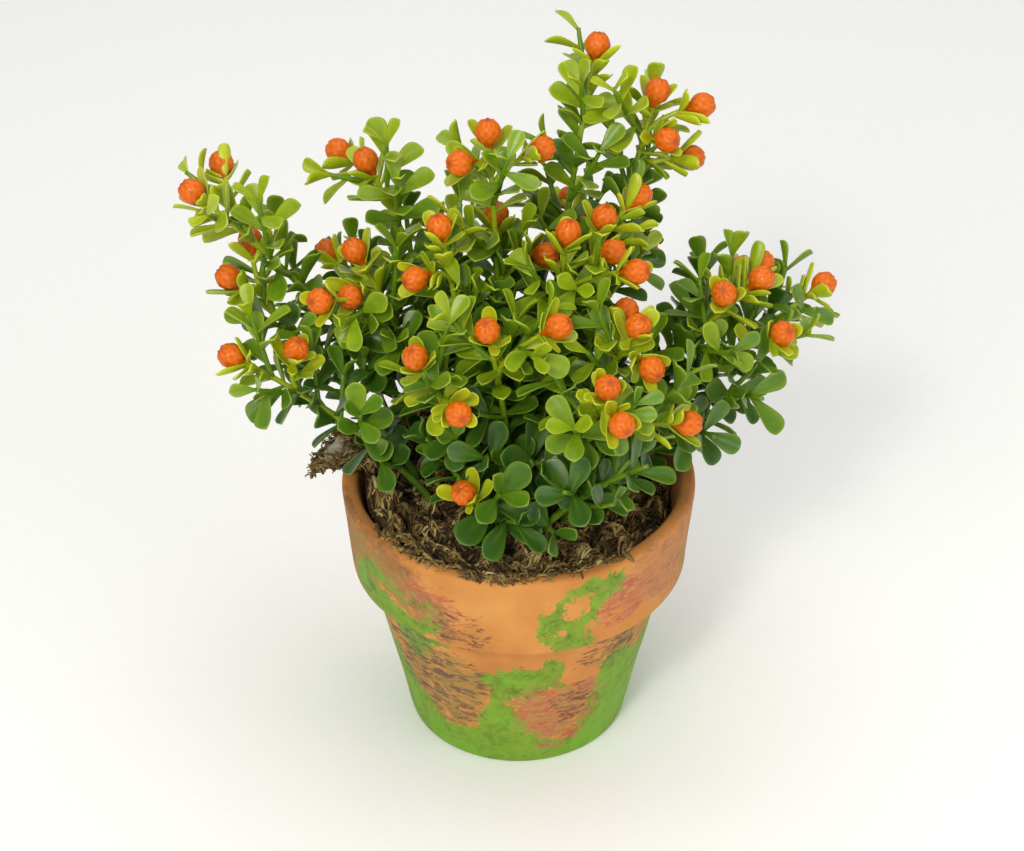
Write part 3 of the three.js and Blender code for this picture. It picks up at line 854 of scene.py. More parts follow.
        # For each paint: its patches, a seed, the most that a depth may be, and how far it is let grow.
        # Where the most is small, the paint stays broken all over.
        paints = {
            "green": (self.green, 20, 8.0, 0.7),
            "umber": (self.umber, 40, 2.0, 0.5),
            "mauve": (self.mauve, 45, 0.9, 0.0),
            "olive": (self.olive, 50, 0.9, 0.0),
            "rust": (self.rust, 60, 0.3, 0.8),
            "stroke": (self.strokes, 80, -0.7, 0.8),
        }
        values = {
            name: np.minimum(self.deepest(patches, azimuth, height, radius, seed) + grown, body) * outside
            + self.no_paint * inside
            for name, (patches, seed, body, grown) in paints.items()
        }
        spots = smooth_step(0, 0.6, ripple(points, self.bright_spot, 7))
        values["bright"] = self.brightness * (smooth_step(*self.bright_low, height) + spots)
        lip = smooth_step(self.height - self.lip / 2, self.height - 0.3, height)
        within = inside * smooth_step(self.height, self.height - self.soil_depth, height)
        values["soil"] = np.maximum(within, self.lip_soil * lip * smooth_step(1.5, -1.5, beyond))
        quads = ring_quads(len(section), self.sides, closed_rows=True)
        return Shape(points, quads[:, ::-1], values=values)

    def build(self) -> None:
        """Makes the pot's piece."""
        dress(self.shape(), "pot_painted", PaintedTerracotta(), "pot")


# Filling


@dataclass
class FoamPlug:
    """The plug under the moss that holds the stems, cut roughly to the pot's inside."""

    pot: Pot
    top: float = 57.0
    gap: float = 0.3
    wall_gap: float = 0.6
    chamfer: float = 2.0
    sides: int = 72
    wall_rows: int = 22
    face_rows: int = 8
    dent_share: float = 0.006
    dent_size: float = 6.0

    def shape(self) -> Shape:
        """A tapered plug with broken edges and an uneven cut surface."""
        low, high = self.pot.floor + self.gap, self.top
        foot = self.pot.inner_radius(low) - self.wall_gap
        head = self.pot.inner_radius(high) - self.wall_gap
        heights = np.linspace(low + self.chamfer, high - self.chamfer, self.wall_rows)
        radii = foot + (head - foot) * (heights - low) / (high - low)
        flat = np.linspace(0.04, 1, self.face_rows)
        rings = (
            [(share * (foot - self.chamfer), low) for share in flat]
            + list(zip(radii, heights))
            + [(share * (head - self.chamfer), high) for share in flat[::-1]]
        )
        turn = np.linspace(0, FULL_TURN, self.sides, endpoint=False)
        radius, height = np.array(rings).T
        x, y = radius[:, None] * np.cos(turn), radius[:, None] * np.sin(turn)
        points = np.stack([x, y, height[:, None] + 0 * x], axis=-1).reshape(-1, 3)
        points[:, :2] *= 1 - self.dent_share * np.abs(ripple(points, self.dent_size, 11))[:, None]
        points = np.vstack([points, [[0, 0, low], [0, 0, high]]])
        return Shape(points, ring_quads(len(rings), self.sides), end_caps(len(rings), self.sides))

    def build(self) -> None:
        """Makes the plug's piece."""
        dress(self.shape(), "foam_plug_cut", FloristFoam(), "foam_plug")


@dataclass
class Curls:
    """A heap of dried curls: flat strips that taper, twist and arch.

    Pairs are the least and the most of a size in millimetres. Turn, roll and twist are radians, at most.
    """

    seed: int
    steps: int = 6
    length: Span = (2.6, 7.5)
    width: Span = (0.35, 1.15)
    width_share: float = 0.6
    width_per_mm: float = 0.1
    thickness: float = 0.22
    turn: float = 2.3
    arch: Span = (-0.3, 1.3)
    crumple: float = 0.25
    bridging: float = 0.5
    roll: float = 0.9
    twist: float = 1.6
    bluntness: float = 0.1
    taper: float = 0.7
    # How much paler the high parts of a curl are painted, and the low parts darker, as painted light and
    # shade.
    high_is_pale: float = 0.12

    def strips(self, centres: Array, headings: Array, ground: Ground, tone: Array) -> Shape:
        """Makes one curl at each place.

        Args:
            centres: Where the middles of the curls lie, as x and y.
            headings: Which way they run there, in radians.
            ground: The height that they lie on.
            tone: How pale each one is, from 0 to 1: its bleaching, with any painted shade that the caller
                adds.

        Returns:
            All the curls as one shape.
        """
        rng = np.random.default_rng(self.seed)
        count = len(centres)
        length = rng.uniform(*self.length, count)
        width = rng.uniform(*self.width, count) * (self.width_share + self.width_per_mm * length)
        bend = rng.uniform(-self.turn, self.turn, count)
        arch = rng.uniform(*self.arch, count)
        roll = rng.uniform(-self.roll, self.roll, count)
        twist = rng.uniform(-self.twist, self.twist, count)
        share = np.linspace(0, 1, self.steps + 1)
        heading = headings[:, None] + bend[:, None] * (share - 0.5)
        pace = (length / self.steps)[:, None, None]
        stride = np.stack([np.cos(heading), np.sin(heading)], axis=-1) * pace
        run = np.cumsum(stride, axis=1) - stride
        flat = centres[:, None, :] + run - run.mean(axis=1, keepdims=True)
        level = ground(flat[..., 0], flat[..., 1])
        level = level + self.bridging * (level.mean(axis=1, keepdims=True) - level)
        crumples = self.crumple * rng.normal(size=(count, self.steps + 1))
        lift = arch[:, None] * np.sin(math.pi * share) + crumples
        spine = np.concatenate([flat, (level + lift)[..., None]], axis=-1)
        along = unit(np.gradient(spine, axis=1))
        side = unit(np.cross(along, UP))
        over = np.cross(side, along)
        angle = (roll[:, None] + twist[:, None] * (share - 0.5))[..., None]
        across = side * np.cos(angle) + over * np.sin(angle)
        proud = over * np.cos(angle) - side * np.sin(angle)
        swell = np.sin(math.pi * (self.bluntness + (1 - 2 * self.bluntness) * share)) ** self.taper
        half = (width[:, None] / 2 * swell)[..., None]
        loop = np.stack(
            [spine + across * half, spine + proud * self.thickness, spine - across * half], axis=2
        )
        points = loop.reshape(-1, 3)
        stations = self.steps + 1
        each = ring_quads(stations, 3)
        starts = np.arange(count) * stations * 3
        quads = (each[None] + starts[:, None, None]).reshape(-1, 4)
        ends = np.array([[0, 2, 1], [3 * self.steps, 3 * self.steps + 1, 3 * self.steps + 2]])
        triangles = (ends[None] + starts[:, None, None]).reshape(-1, 3)
        # Higher parts of a curl are painted paler and lower parts darker, as painted light and shade.
        shade = np.repeat(tone[:, None] + self.high_is_pale * (lift - 0.5), 3, axis=1).ravel()
        values = {"tone": np.clip(shade, 0.03, 1), "pale": np.zeros(len(points))}
        return Shape(points, quads[:, ::-1], triangles[:, ::-1], values)


@dataclass
class MossLayer:
    """Shredded dried moss that fills the top of the pot, higher at the left, with a sunken gap in front
    that is painted darker as shade.

    The bank, the gap and the rise on to the lip each come in between two distances from the pot's axis,
    and between two places to one side or in front.
    """

    pot: Pot
    level: float = 68.5
    slope: float = 0.03
    bump: float = 1.5
    bottom: float = 57.3
    wall_gap: float = 0.6
    bedding: float = 1.1
    mat_drop: float = 0.7
    mat_rows: int = 34
    mat_sides: int = 140
    fibres: int = 1700
    flakes: int = 3900
    lapping: int = 300

    bank_height: float = 2.7
    bank_radii: Span = (27.0, 38.0)
    bank_left: Span = (-6.0, -28.0)
    gap_depth: float = 2.0
    gap_radii: Span = (33.0, 40.0)
    gap_front: Span = (5.0, -20.0)
    gap_right: Span = (-32.0, -14.0)

    wall_band: float = 7.0
    swirl: float = 2.2
    swirl_size: float = 16.0
    drift_size: float = 9.0

    lap_radii: Span = (37.5, 43.0)
    lap_degrees: Span = (-150.0, -50.0)
    tuft_share: float = 0.35
    tuft_radii: Span = (38.5, 44.0)
    tuft_degrees: Span = (-97.0, 5.5)
    lip_radii: Span = (37.5, 41.5)

    def __post_init__(self) -> None:
        """Sets up the flat, crumbled kind of curl."""
        sizes = {"length": (1.6, 5.0), "width": (0.8, 1.9), "thickness": 0.34, "arch": (-0.2, 1.0)}
        self.flake = Curls(seed=35, steps=4, turn=1.7, roll=0.8, twist=1.2, **sizes)

    def height(self, x: Amount, y: Amount) -> Amount:
        """The moss's height at a place, the same as the solid's."""
        humps = np.sin(0.31 * x + 0.7) * np.cos(0.27 * y - 0.4) + 0.6 * np.sin(0.45 * (x + y))
        return self.level - self.slope * x + self.bump * humps

    def bank(self, x: Array, y: Array) -> Array:
        """How far the moss is pushed up along the wall at the left."""
        near_wall = smooth_step(*self.bank_radii, np.hypot(x, y))
        return self.bank_height * near_wall * smooth_step(*self.bank_left, x)

    def ground(self, x: Array, y: Array) -> Array:
        """The rough top of the mat, under the loose curls."""
        spots = np.stack([x, y], axis=-1)
        lumps = 1.1 * ripple(spots, 8, 21) + 0.5 * ripple(spots, 3.4, 22)
        near_wall = smooth_step(*self.gap_radii, np.hypot(x, y))
        ahead = smooth_step(*self.gap_front, y) * smooth_step(*self.gap_right, x)
        bed = self.height(x, y) - self.bedding + lumps
        return bed - self.gap_depth * near_wall * ahead + self.bank(x, y)

    def mat(self) -> Shape:
        """The mat of crumbs that fills the pot's mouth below the curls, painted dark as the shade between
        them.
        """
        rows, around = self.mat_rows, self.mat_sides
        edge = self.pot.inner_radius(self.level) - self.wall_gap - 0.4
        turn = np.linspace(0, FULL_TURN, around, endpoint=False)
        radii = edge * np.linspace(0.03, 1, rows)
        x, y = radii[:, None] * np.cos(turn), radii[:, None] * np.sin(turn)
        top = np.stack([x, y, self.ground(x, y) - self.mat_drop], axis=-1).reshape(-1, 3)
        foot = self.pot.inner_radius(self.bottom) - self.wall_gap
        rim = np.stack([foot * np.cos(turn), foot * np.sin(turn), np.full(around, self.bottom)], axis=-1)
        summit = float(self.ground(np.zeros(1), np.zeros(1))[0]) - self.mat_drop
        points = np.vstack([top, rim, [[0, 0, summit], [0, 0, self.bottom]]])
        caps = end_caps(rows + 1, around)
        # The mat's dark tone is painted shade for the gaps between the curls.
        tone = np.clip(0.14 + 0.06 * ripple(points, 3, 23), 0.02, 0.4)
        values = {"tone": tone, "pale": np.zeros(len(points))}
        return Shape(points, ring_quads(rows + 1, around)[:, ::-1], caps[:, ::-1], values)

    def strewn(self) -> Shape:
        """The curls over the mat, in swirls, paler in drifts and painted darker as shade where they lie
        low.
        """
        rng = np.random.default_rng(31)
        reach = self.pot.inner_radius(self.level) - self.wall_gap - 1
        kinds = ((self.fibres, Curls(seed=34, steps=5, turn=1.8)), (self.flakes, self.flake))
        heaps = []
        for count, curls in kinds:
            radius = reach * np.sqrt(rng.uniform(0, 1, count))
            turn = rng.uniform(0, FULL_TURN, count)
            centres = np.stack([radius * np.cos(turn), radius * np.sin(turn)], axis=-1)
            swirled = self.swirl * ripple(centres, self.swirl_size, 32) + rng.normal(0, 0.8, count)
            along_wall = turn + math.pi / 2 + rng.normal(0, 0.5, count)
            headings = np.where(radius > reach - self.wall_band, along_wall, swirled)
            # Curls that lie low, in hollows and in the gap, are painted darker as shade.
            relief = self.ground(*centres.T) - self.height(*centres.T) - self.bank(*centres.T)
            drift = 0.1 * ripple(centres, self.drift_size, 33)
            tone = 0.53 + 0.13 * relief + drift + rng.normal(0, 0.18, count)
            heaps.append(curls.strips(centres, headings, self.ground, np.clip(tone, 0.08, 0.98)))
        heap = Shape.joined(heaps)
        self.keep_in(heap.points)
        return heap

    def over_the_lip(self) -> Shape:
        """The curls that lap over the lip at the front, of which a share makes a tuft."""
        rng = np.random.default_rng(36)
        count = self.lapping
        tuft = rng.uniform(0, 1, count) < self.tuft_share
        radius = np.where(tuft, rng.uniform(*self.tuft_radii, count), rng.uniform(*self.lap_radii, count))
        in_tuft, along_lip = rng.normal(*self.tuft_degrees, count), rng.uniform(*self.lap_degrees, count)
        turn = np.radians(np.where(tuft, in_tuft, along_lip))
        centres = np.stack([radius * np.cos(turn), radius * np.sin(turn)], axis=-1)
        headings = turn + math.pi / 2 + rng.normal(0, 0.8, count)
        tone = np.clip(rng.normal(0.55, 0.16, count), 0.15, 0.95)

        def ground(x: Array, y: Array) -> Array:
            """The moss's edge and the top of the lip beyond it."""
            rise = smooth_step(*self.lip_radii, np.hypot(x, y))
            return self.ground(x, y) * (1 - rise) + (self.pot.height + 0.1) * rise

        curls = Curls(seed=37, length=(2.4, 5.2), width=(0.5, 1.5), arch=(0.0, 0.7))
        return curls.strips(centres, headings, ground, tone)

    def keep_in(self, points: Array) -> None:
        """Pulls points in that would lie in the pot's wall."""
        limit = self.pot.inner_radius(np.minimum(points[:, 2], self.pot.height)) - 0.25
        radius = np.hypot(points[:, 0], points[:, 1])
        points[:, :2] *= np.minimum(1, limit / np.maximum(radius, 1e-6))[:, None]

    def build(self) -> None:
        """Makes the moss's piece."""
        shape = Shape.joined([self.mat(), self.strewn(), self.over_the_lip()])
        dress(shape, "moss_shredded", DriedMoss(), "moss_layer")


@dataclass
class MossScrap:
    """A torn flake of the moss mat over the lip at the left, with its papery backing showing.

    Each row across it is a distance from the pot's axis, a height, and a turn and a half width in
    degrees. The bare spot is where its backing shows, as a place along it and how far that reaches
    across and along.
    """

    azimuth: float = 167.0
    rows: tuple[tuple[float, float, float, float], ...] = (
        (38.0, 72.8, 0, 7),
        (43.4, 74.6, 2, 11),
        (48.4, 74.0, -1, 10),
        (53.0, 69.4, 3, 6),
    )
    thickness: float = 0.7
    arch: float = 0.5
    raggedness: float = 0.16
    crumple: float = 0.35
    crumple_size: float = 3.4
    bare_spot: Spot = (0.62, 0.5, 0.2)
    down: int = 26
    across: int = 26
    curls: int = 420

    def surface(self, along: Array, across: Array) -> Array:
        """Points of the flake's upper side.

        Args:
            along: 0 at the moss to 1 at the torn end.
            across: -1 to 1 from edge to edge.

        Returns:
            The points.
        """
        rows = np.array(self.rows, float)
        places = np.linspace(0, 1, len(rows))
        radius, height, turn, half = (np.interp(along, places, rows[:, k]) for k in range(4))
        height = height + self.arch * np.sin(math.pi * along)
        ragged = 1 + self.raggedness * ripple(np.stack([along * 14, np.sign(across) * 4], axis=-1), 5, 41)
        angle = np.radians(self.azimuth + turn - half * across * ragged)
        return np.stack([radius * np.cos(angle), radius * np.sin(angle), height], axis=-1)

    def sheet(self) -> Shape:
        """The crumpled backing, closed, with a torn edge all round."""
        along = np.linspace(0, 1, self.down)
        across = np.linspace(-1, 1, self.across)
        share, wide = (plane.ravel() for plane in np.meshgrid(along, across, indexing="ij"))
        torn = 0.05 * ripple(np.stack([wide * 7], axis=-1), 1.3, 42)
        flat = self.surface(np.clip(share + torn * share, 0, 1.05), wide)
        top = flat + UP * (self.crumple * ripple(flat, self.crumple_size, 43) + 0.15)[:, None]
        turn = math.radians(self.azimuth)
        inward = unit(np.array([-math.cos(turn), -math.sin(turn), -2]))
        below = top + inward * self.thickness
        count = len(top)
        grid = np.arange(count).reshape(self.down, self.across)
        corners = [grid[:-1, :-1], grid[:-1, 1:], grid[1:, 1:], grid[1:, :-1]]
        faces = np.stack(corners, axis=-1).reshape(-1, 4)
        border = np.concatenate([grid[0, :-1], grid[:-1, -1], grid[-1, :0:-1], grid[:0:-1, 0]])
        after = np.roll(border, -1)
        wall = np.stack([border, border + count, after + count, after], axis=-1)
        points = np.vstack([top, below])
        place, reach_across, reach_along = self.bare_spot
        aside = np.tile(wide, 2) / (1.1 * reach_across)
        away = (np.tile(share, 2) - place) / (1.1 * reach_along)
        middle = np.exp(-(aside**2) - away**2)
        values = {
            "tone": np.clip(0.5 + 0.14 * ripple(points, 3, 44), 0.1, 0.9),
            "pale": np.clip(1.25 * middle + 0.1 * ripple(points, 2, 45), 0, 0.9),
        }
        return Shape(points, np.vstack([faces[:, ::-1], faces + count, wall]), values=values)

    def fringe(self) -> Shape:
        """Curls on the flake and round its torn edge."""
        rng = np.random.default_rng(46)
        along = rng.uniform(0.02, 1.0, self.curls)
        across = np.clip(rng.normal(0, 0.75, self.curls), -1.1, 1.1)
        place, reach_across, reach_along = self.bare_spot
        bare = np.hypot(across / reach_across, (along - place) / reach_along) < 1
        along, across = along[~bare], across[~bare]
        spots = self.surface(along, across)
        centres = spots[:, :2]
        headings = np.radians(self.azimuth) + rng.normal(0, 0.9, len(centres))
        tone = np.clip(0.52 + rng.normal(0, 0.18, len(centres)), 0.12, 0.95)

        def ground(x: Array, y: Array) -> Array:
            """The flake's height under a curl, the same all along it."""
            return np.broadcast_to(spots[:, 2:] + 0.2, x.shape)

        curls = Curls(seed=47, length=(2.0, 5.5), width=(0.35, 0.9), arch=(-0.9, 0.9))
        return curls.strips(centres, headings, ground, tone)

    def build(self) -> None:
        """Makes the flake's piece."""
        shape = Shape.joined([self.sheet(), self.fringe()])
        dress(shape, "moss_torn_flake", DriedMoss(), "moss_scrap")


# Growth


class Arc:
    """A quadratic curve from a foot over a bend to a tip, with places on it by share of its length."""

    DIVISIONS = 200
    DELTA = 0.0001

    def __init__(self, foot: Array, bend: Array, tip: Array) -> None:
        """Keeps the three points and measures the curve."""
        self.foot, self.bend, self.tip = foot, bend, tip
        self.shares = np.linspace(0, 1, self.DIVISIONS + 1)
        steps = np.linalg.norm(np.diff(self.point(self.shares), axis=0), axis=-1)
        self.lengths = np.concatenate([[0], np.cumsum(steps)])
        self.length = float(self.lengths[-1])

    def point(self, t: Amount) -> Array:
        """The point or points at a parameter."""
        t = np.asarray(t, float)[..., None]
        return (1 - t) ** 2 * self.foot + 2 * (1 - t) * t * self.bend + t * t * self.tip

    def tangent(self, t: Amount) -> Array:
        """The direction or directions at a parameter."""
        t = np.asarray(t, float)
        before, after = np.clip(t - self.DELTA, 0, 1), np.clip(t + self.DELTA, 0, 1)
        return unit(self.point(after) - self.point(before))

    def cut_at(self, t: float) -> "Arc":
        """The part of the curve up to a parameter."""
        return Arc(self.foot, self.foot + (self.bend - self.foot) * t, self.point(t))

    def parameter(self, share: Amount) -> Amount:
        """The parameter at a share of the length."""
        return np.interp(np.asarray(share) * self.length, self.lengths, self.shares)


class Rank(Enum):
    """What a shoot grows from and carries."""

    MAIN = "from the moss to a tip of the solids"
    SIDE = "from a fork to a tip of the solids"
    TWIG = "short, with leaves only, and not in the solids"


@dataclass
class Shoot:
    """A stem from the moss or from a fork, and what its tip carries."""

    arc: Arc
    has_bead: bool
    rank: Rank
    tag: str = ""


@dataclass(frozen=True)
class Habit:
    """How the leaves of one kind of node stand, and how far their lift, turn and size vary.

    Angles are radians, with a lift of 0 square to the shoot. Sizes are shares of the usual size. Each
    leaf of a node stands further back than the last by the stagger, in millimetres.
    """

    lift: float
    lift_spread: float = 0.5
    turn_spread: float = 0.5
    size: float = 1.0
    size_spread: float = 0.24
    count: int = 2
    stagger: float = 1.0


@dataclass
class Site:
    """A place on a shoot where a leaf may grow."""

    centre: Array
    tangent: Array
    length: float
    width: float
    back: float
    young: bool
    whorl: bool
    turn: float
    lift: float
    scale: float
    spray: int
    tags: tuple[str, ...]


@dataclass
class Leaf:
    """A leaf that found room: its foot, its three directions and its size."""

    base: Array
    along: Array
    up: Array
    across: Array
    length: float
    width: float
    young: bool
    back: float
    shoot: str
    # How deep under the crown the leaf lies, which paints it darker as shade.
    cover: float = 0.0

    CUP = 0.35
    DROOP = 0.12

    def point(self, along: Array, across: Array) -> Array:
        """Points of the leaf's plain form, at shares of its length and width."""
        along, across = np.asarray(along, float), np.asarray(across, float)
        lift = self.CUP * np.abs(across) * self.width - self.DROOP * along * along * self.length
        return (
            self.base
            + self.along * (along * self.length)[..., None]
            + self.across * (across * self.width)[..., None]
            + self.up * lift[..., None]
        )

    def lean_back(self, angle: float) -> None:
        """Turns the leaf away from its shoot's tip by an angle."""
        along, up = self.along, self.up
        self.along = along * math.cos(angle) - up * math.sin(angle)
        self.up = up * math.cos(angle) + along * math.sin(angle)


class Room:
    """The room already taken, kept as points in cells with the distance that each asks for."""

    CELL = 5.0
    BEAD_EASE = 0.78

    def __init__(self) -> None:
        """Starts with nothing taken."""
        self.cells: dict[tuple[int, int, int], list] = {}

    def cell_of(self, point: Array) -> tuple[int, int, int]:
        """The cell that a point lies in."""
        return tuple(int(math.floor(value / self.CELL)) for value in point)

    def take(self, points: Array, reach: float, tag: str) -> None:
        """Takes the room round some points."""
        for point in points:
            x, y, z = (float(value) for value in point)
            self.cells.setdefault(self.cell_of(point), []).append((x, y, z, reach, tag))

    def is_free(self, point: Array, own: tuple[str, ...], ease: float) -> bool:
        """Whether a point keeps clear of all that is taken.

        Args:
            point: The point.
            own: The tags of what it may touch.
            ease: A share that the asked distances are cut to.

        Returns:
            True if nothing else is too close.
        """
        x, y, z = (float(value) for value in point)
        cx, cy, cz = self.cell_of(point)
        for i in (cx - 1, cx, cx + 1):
            for j in (cy - 1, cy, cy + 1):
                for k in (cz - 1, cz, cz + 1):
                    for px, py, pz, reach, tag in self.cells.get((i, j, k), ()):
                        limit = reach * (max(ease, self.BEAD_EASE) if reach >= self.CELL else ease)
                        if (px - x) ** 2 + (py - y) ** 2 + (pz - z) ** 2 < limit * limit and tag not in own:
                            return False
        return True


@dataclass
class SprayPlan:
    """Where a spray's stem stands, the beads on its shoots, and the tips of shoots with leaves only.

    The low tips end short shoots from near the foot, which the solids leave out.
    """

    root: Span
    beads: tuple[Spot, ...]
    leafy: tuple[Spot, ...] = ()
    low: tuple[Spot, ...] = ()


SPRAYS = (
    SprayPlan((-3, 5), ((-7, 14, 165), (-14, 8, 160), (6, 16, 159))),
    SprayPlan((-9, 0), ((-19, 2, 146), (-25, -4, 135))),
    SprayPlan((-2, 12), ((-5, 20, 138), (7, 12, 131))),
    SprayPlan((-15, 1), ((-40, 12, 133), (-41, 2, 126), (-48, -7, 131))),
    SprayPlan((-23, -6), ((-70, -8, 116), (-54, -10, 119)), ((-50, -8, 96),)),
    SprayPlan((-26, 3), ((-71, 10, 127), (-66, 22, 130))),
    SprayPlan((-21, 11), ((-79, 16, 148), (-73, 34, 145))),
    SprayPlan((-10, 16), ((-37, 28, 149), (-44, 36, 147))),
    SprayPlan((5, -1), ((12, 2, 144), (23, 4, 137), (28, -8, 139))),
    SprayPlan((8, 6), ((21, 10, 143), (30, 18, 144))),
    SprayPlan((14, 12), ((35, 36, 163), (46, 34, 160), (37, 26, 155), (44, 34, 145))),
    SprayPlan((5, 14), ((20, 36, 176), (14, 46, 126))),
    SprayPlan((17, 4), ((60, 8, 126), (61, 18, 124), (50, 0, 127))),
    SprayPlan((19, -3), ((78, 26, 112), (65, 0, 115)), ((60, -8, 101), (48, -14, 94))),
    SprayPlan((-1, -8), ((-8, -22, 132), (9, -22, 133)), low=((6, -24, 94), (-9, -24, 96))),
    SprayPlan((11, -6), ((28, -18, 130), (31, -26, 123), (26, -4, 125))),
    SprayPlan((11, -14), ((20, -36, 125), (23, -44, 120), (40, -30, 110)), low=((20, -28, 91),)),
    SprayPlan((-10, -9), ((-25, -24, 126), (-15, -36, 118))),
    SprayPlan((-6, -20), ((-14, -30, 90),), low=((-5, -33, 92), (-1, -32, 82))),
    SprayPlan((3, -25), (), ((30, -36, 102), (10, -38, 96)), low=((8, -34, 80),)),
    SprayPlan((-4, 21), ((-22, 42, 124), (-6, 44, 117))),
    SprayPlan((11, 20), ((18, 44, 120), (34, 42, 112))),
    SprayPlan((-17, 20), ((-48, 38, 116), (-34, 46, 104))),
    SprayPlan((22, 11), ((58, 34, 112), (48, 42, 100))),
)


class Growth:
    """Grows the shoots and leaves by the rule that the solids follow, then fills in smaller leaves.

    Lengths behind a tip are in millimetres, and places and bends on a shoot are shares of it. A try is
    a turn, a lift and a size that a leaf without room takes instead.
    """

    GOLDEN = 0.618034
    FOOT_LIFT = 2.0
    MAIN_BEND = np.array([0.36, 0.36, 0.56])
    FORK_DEEPEST = 0.8
    FORK_SPREAD = 1.25
    LEAD = 0.4
    STEM_RADIUS = 1.05
    TIP_SIZE = (8.6, 4.8)
    OLD_SIZE = (11.5, 7.0)
    YOUNG_SPAN = 36.0
    LEAFY_HEAD_START = 20.0
    WHORL_BACK = 4.6
    NODE_STEP = 5.6
    NODE_GROWTH = 1.1
    BARE_STEM = 13.0
    BARE_FORK = 4.0
    CLEAR = 2.1
    BEAD_CLEAR = 5.0
    MOUTH = 34.0
    SPIRAL = 0.7
    WHORL = Habit(0.75, lift_spread=0.3, count=3)
    PAIR = Habit(0.5)
    REFERENCE = np.array([0.36, 0.93, 0.0])
    TRIES = (
        (0, 0, 1), (0.4, 0, 1), (-0.4, 0, 1), (0, 0.4, 1),
        (0.8, 0.2, 0.9), (-0.8, 0.2, 0.9), (0, -0.4, 0.85),
    )
    FILL_EASE = 0.6
    FILL_TURN = 0.9
    BRACT_BACK = 4.4
    BRACT = Habit(0.35, turn_spread=0.8, size=0.66, size_spread=0.2, count=3, stagger=0.5)
    FILLING = Habit(0.6, turn_spread=0.8, size=0.84, size_spread=0.2, stagger=0.5)
    TWIG_EASE = 0.55
    TWIG_STEP = 7.0
    TWIG_FIRST = 12.0
    TWIG_LENGTH = (9.0, 17.0)
    TWIG_LIFT = 0.75
    TWIG_LIFT_SPREAD = 0.5
    TWIG_TRIES = 7
    TWIG_TURN = 0.9
    TWIG_SPIRAL = 2.4
    TWIG_BEND = 0.45
    TWIG_RISE = 0.2
    LEAST_RISE = 0.05
    OVER_MOSS = 8.0
    TWIG_END = Habit(1.05, lift_spread=0.4, size=0.85, stagger=0.4)
    TWIG_PAIR = Habit(0.55, lift_spread=0.4, stagger=0.4)
    TWIG_END_BACK = 0.6
    TWIG_NODE_STEP = 4.6
    TWIG_LEAF_SPIRAL = 1.3
    TWIG_LEAF_SIZE = 0.92
    LOW_LEAF_SIZE = 1.12
    LOW_FORK = 0.06
    OVER_BEAD = (5.0, 9.0, 13.0)
    BEFORE_BEAD = (4.5, 8.0, 11.5, 15.0, 18.5, 22.0)
    # Towards the place from which the photograph was taken.
    FRONT = unit(np.array([-0.02, -0.83, 0.55]))
    # The first sprays of the list carry the beads that the photograph shows, the others those behind.
    IN_THE_PHOTO = 20
    HIDING = (9.0, 5.2)
    LEAN = 0.5
    LEAN_STEP = 0.12
    MOST_STEPS = 8
    OWN_BEAD = 7.5
    BEAD_ROOM = 3.2
    PROUD = 2.0
    TIP_SHARE = 0.04
    # Over what reach and depth a crown above paints the leaves below darker as shade.
    SHADE_REACH = 9.0
    SHADE_DEPTH = (8.0, 42.0)
    # Places on the flake, the rim and the moss that the photograph shows between the leaves.
    BARE_SPOTS = (
        (-41, 2, 76), (-47, 2, 76), (-51, 4, 74), (-45, 9, 77), (-46, 16, 78), (-44, -6, 74),
        (-40, -8, 73), (-36, -8, 70), (19, -21, 70), (20, -15, 70), (23, -18, 70), (24, -11, 70),
        (28, -8, 70),
    )
    BEFORE_SPOT = tuple(range(2, 40, 3))

    def __init__(self, pot: Pot, moss: MossLayer) -> None:
        """Keeps what the plant grows in."""
        self.pot = pot
        self.moss = moss
        self.lowest, self.highest = (np.array(corner) / MM for corner in CAD_BOX)
        self.room = Room()
        self.shoots: list[list[Shoot]] = [self.shoots_of(plan) for plan in SPRAYS]
        self.leaves: list[list[Leaf]] = [[] for _ in SPRAYS]

    def shoots_of(self, plan: SprayPlan) -> list[Shoot]:
        """The shoots of a spray, the main stem first and the others forked from it."""
        tips = [np.array(tip, float) for tip in (*plan.beads, *plan.leafy)]
        x, y = plan.root
        foot = np.array([x, y, self.moss.height(x, y) + self.FOOT_LIFT])
        main = Arc(foot, foot + (tips[0] - foot) * self.MAIN_BEND, tips[0])
        shoots = [Shoot(main, bool(plan.beads), Rank.MAIN)]
        for i, tip in enumerate(tips[1:], start=1):
            apart = float(np.linalg.norm(tip - tips[0]))
            start = 1 - min(self.FORK_DEEPEST, self.FORK_SPREAD * apart / main.length)
            shoots.append(Shoot(self.forked(main, start, tip), i < len(plan.beads), Rank.SIDE))
        return shoots

    def forked(self, stem: Arc, start: float, tip: Array) -> Arc:
        """A curve that leaves a stem along it and ends at a tip."""
        fork = stem.point(start)
        lead = stem.tangent(start) * self.LEAD * float(np.linalg.norm(tip - fork))
        return Arc(fork, fork + lead, tip)

    def node_back(self, node: float) -> float:
        """How far a leaf node lies behind the tip: the nodes crowd together towards it."""
        return self.WHORL_BACK + node * (self.NODE_STEP + self.NODE_GROWTH * node)

    def last_back(self, shoot: Shoot) -> float:
        """How far behind the tip the last leaf of a shoot of the solids may stand."""
        return shoot.arc.length - (self.BARE_STEM if shoot.rank is Rank.MAIN else self.BARE_FORK)

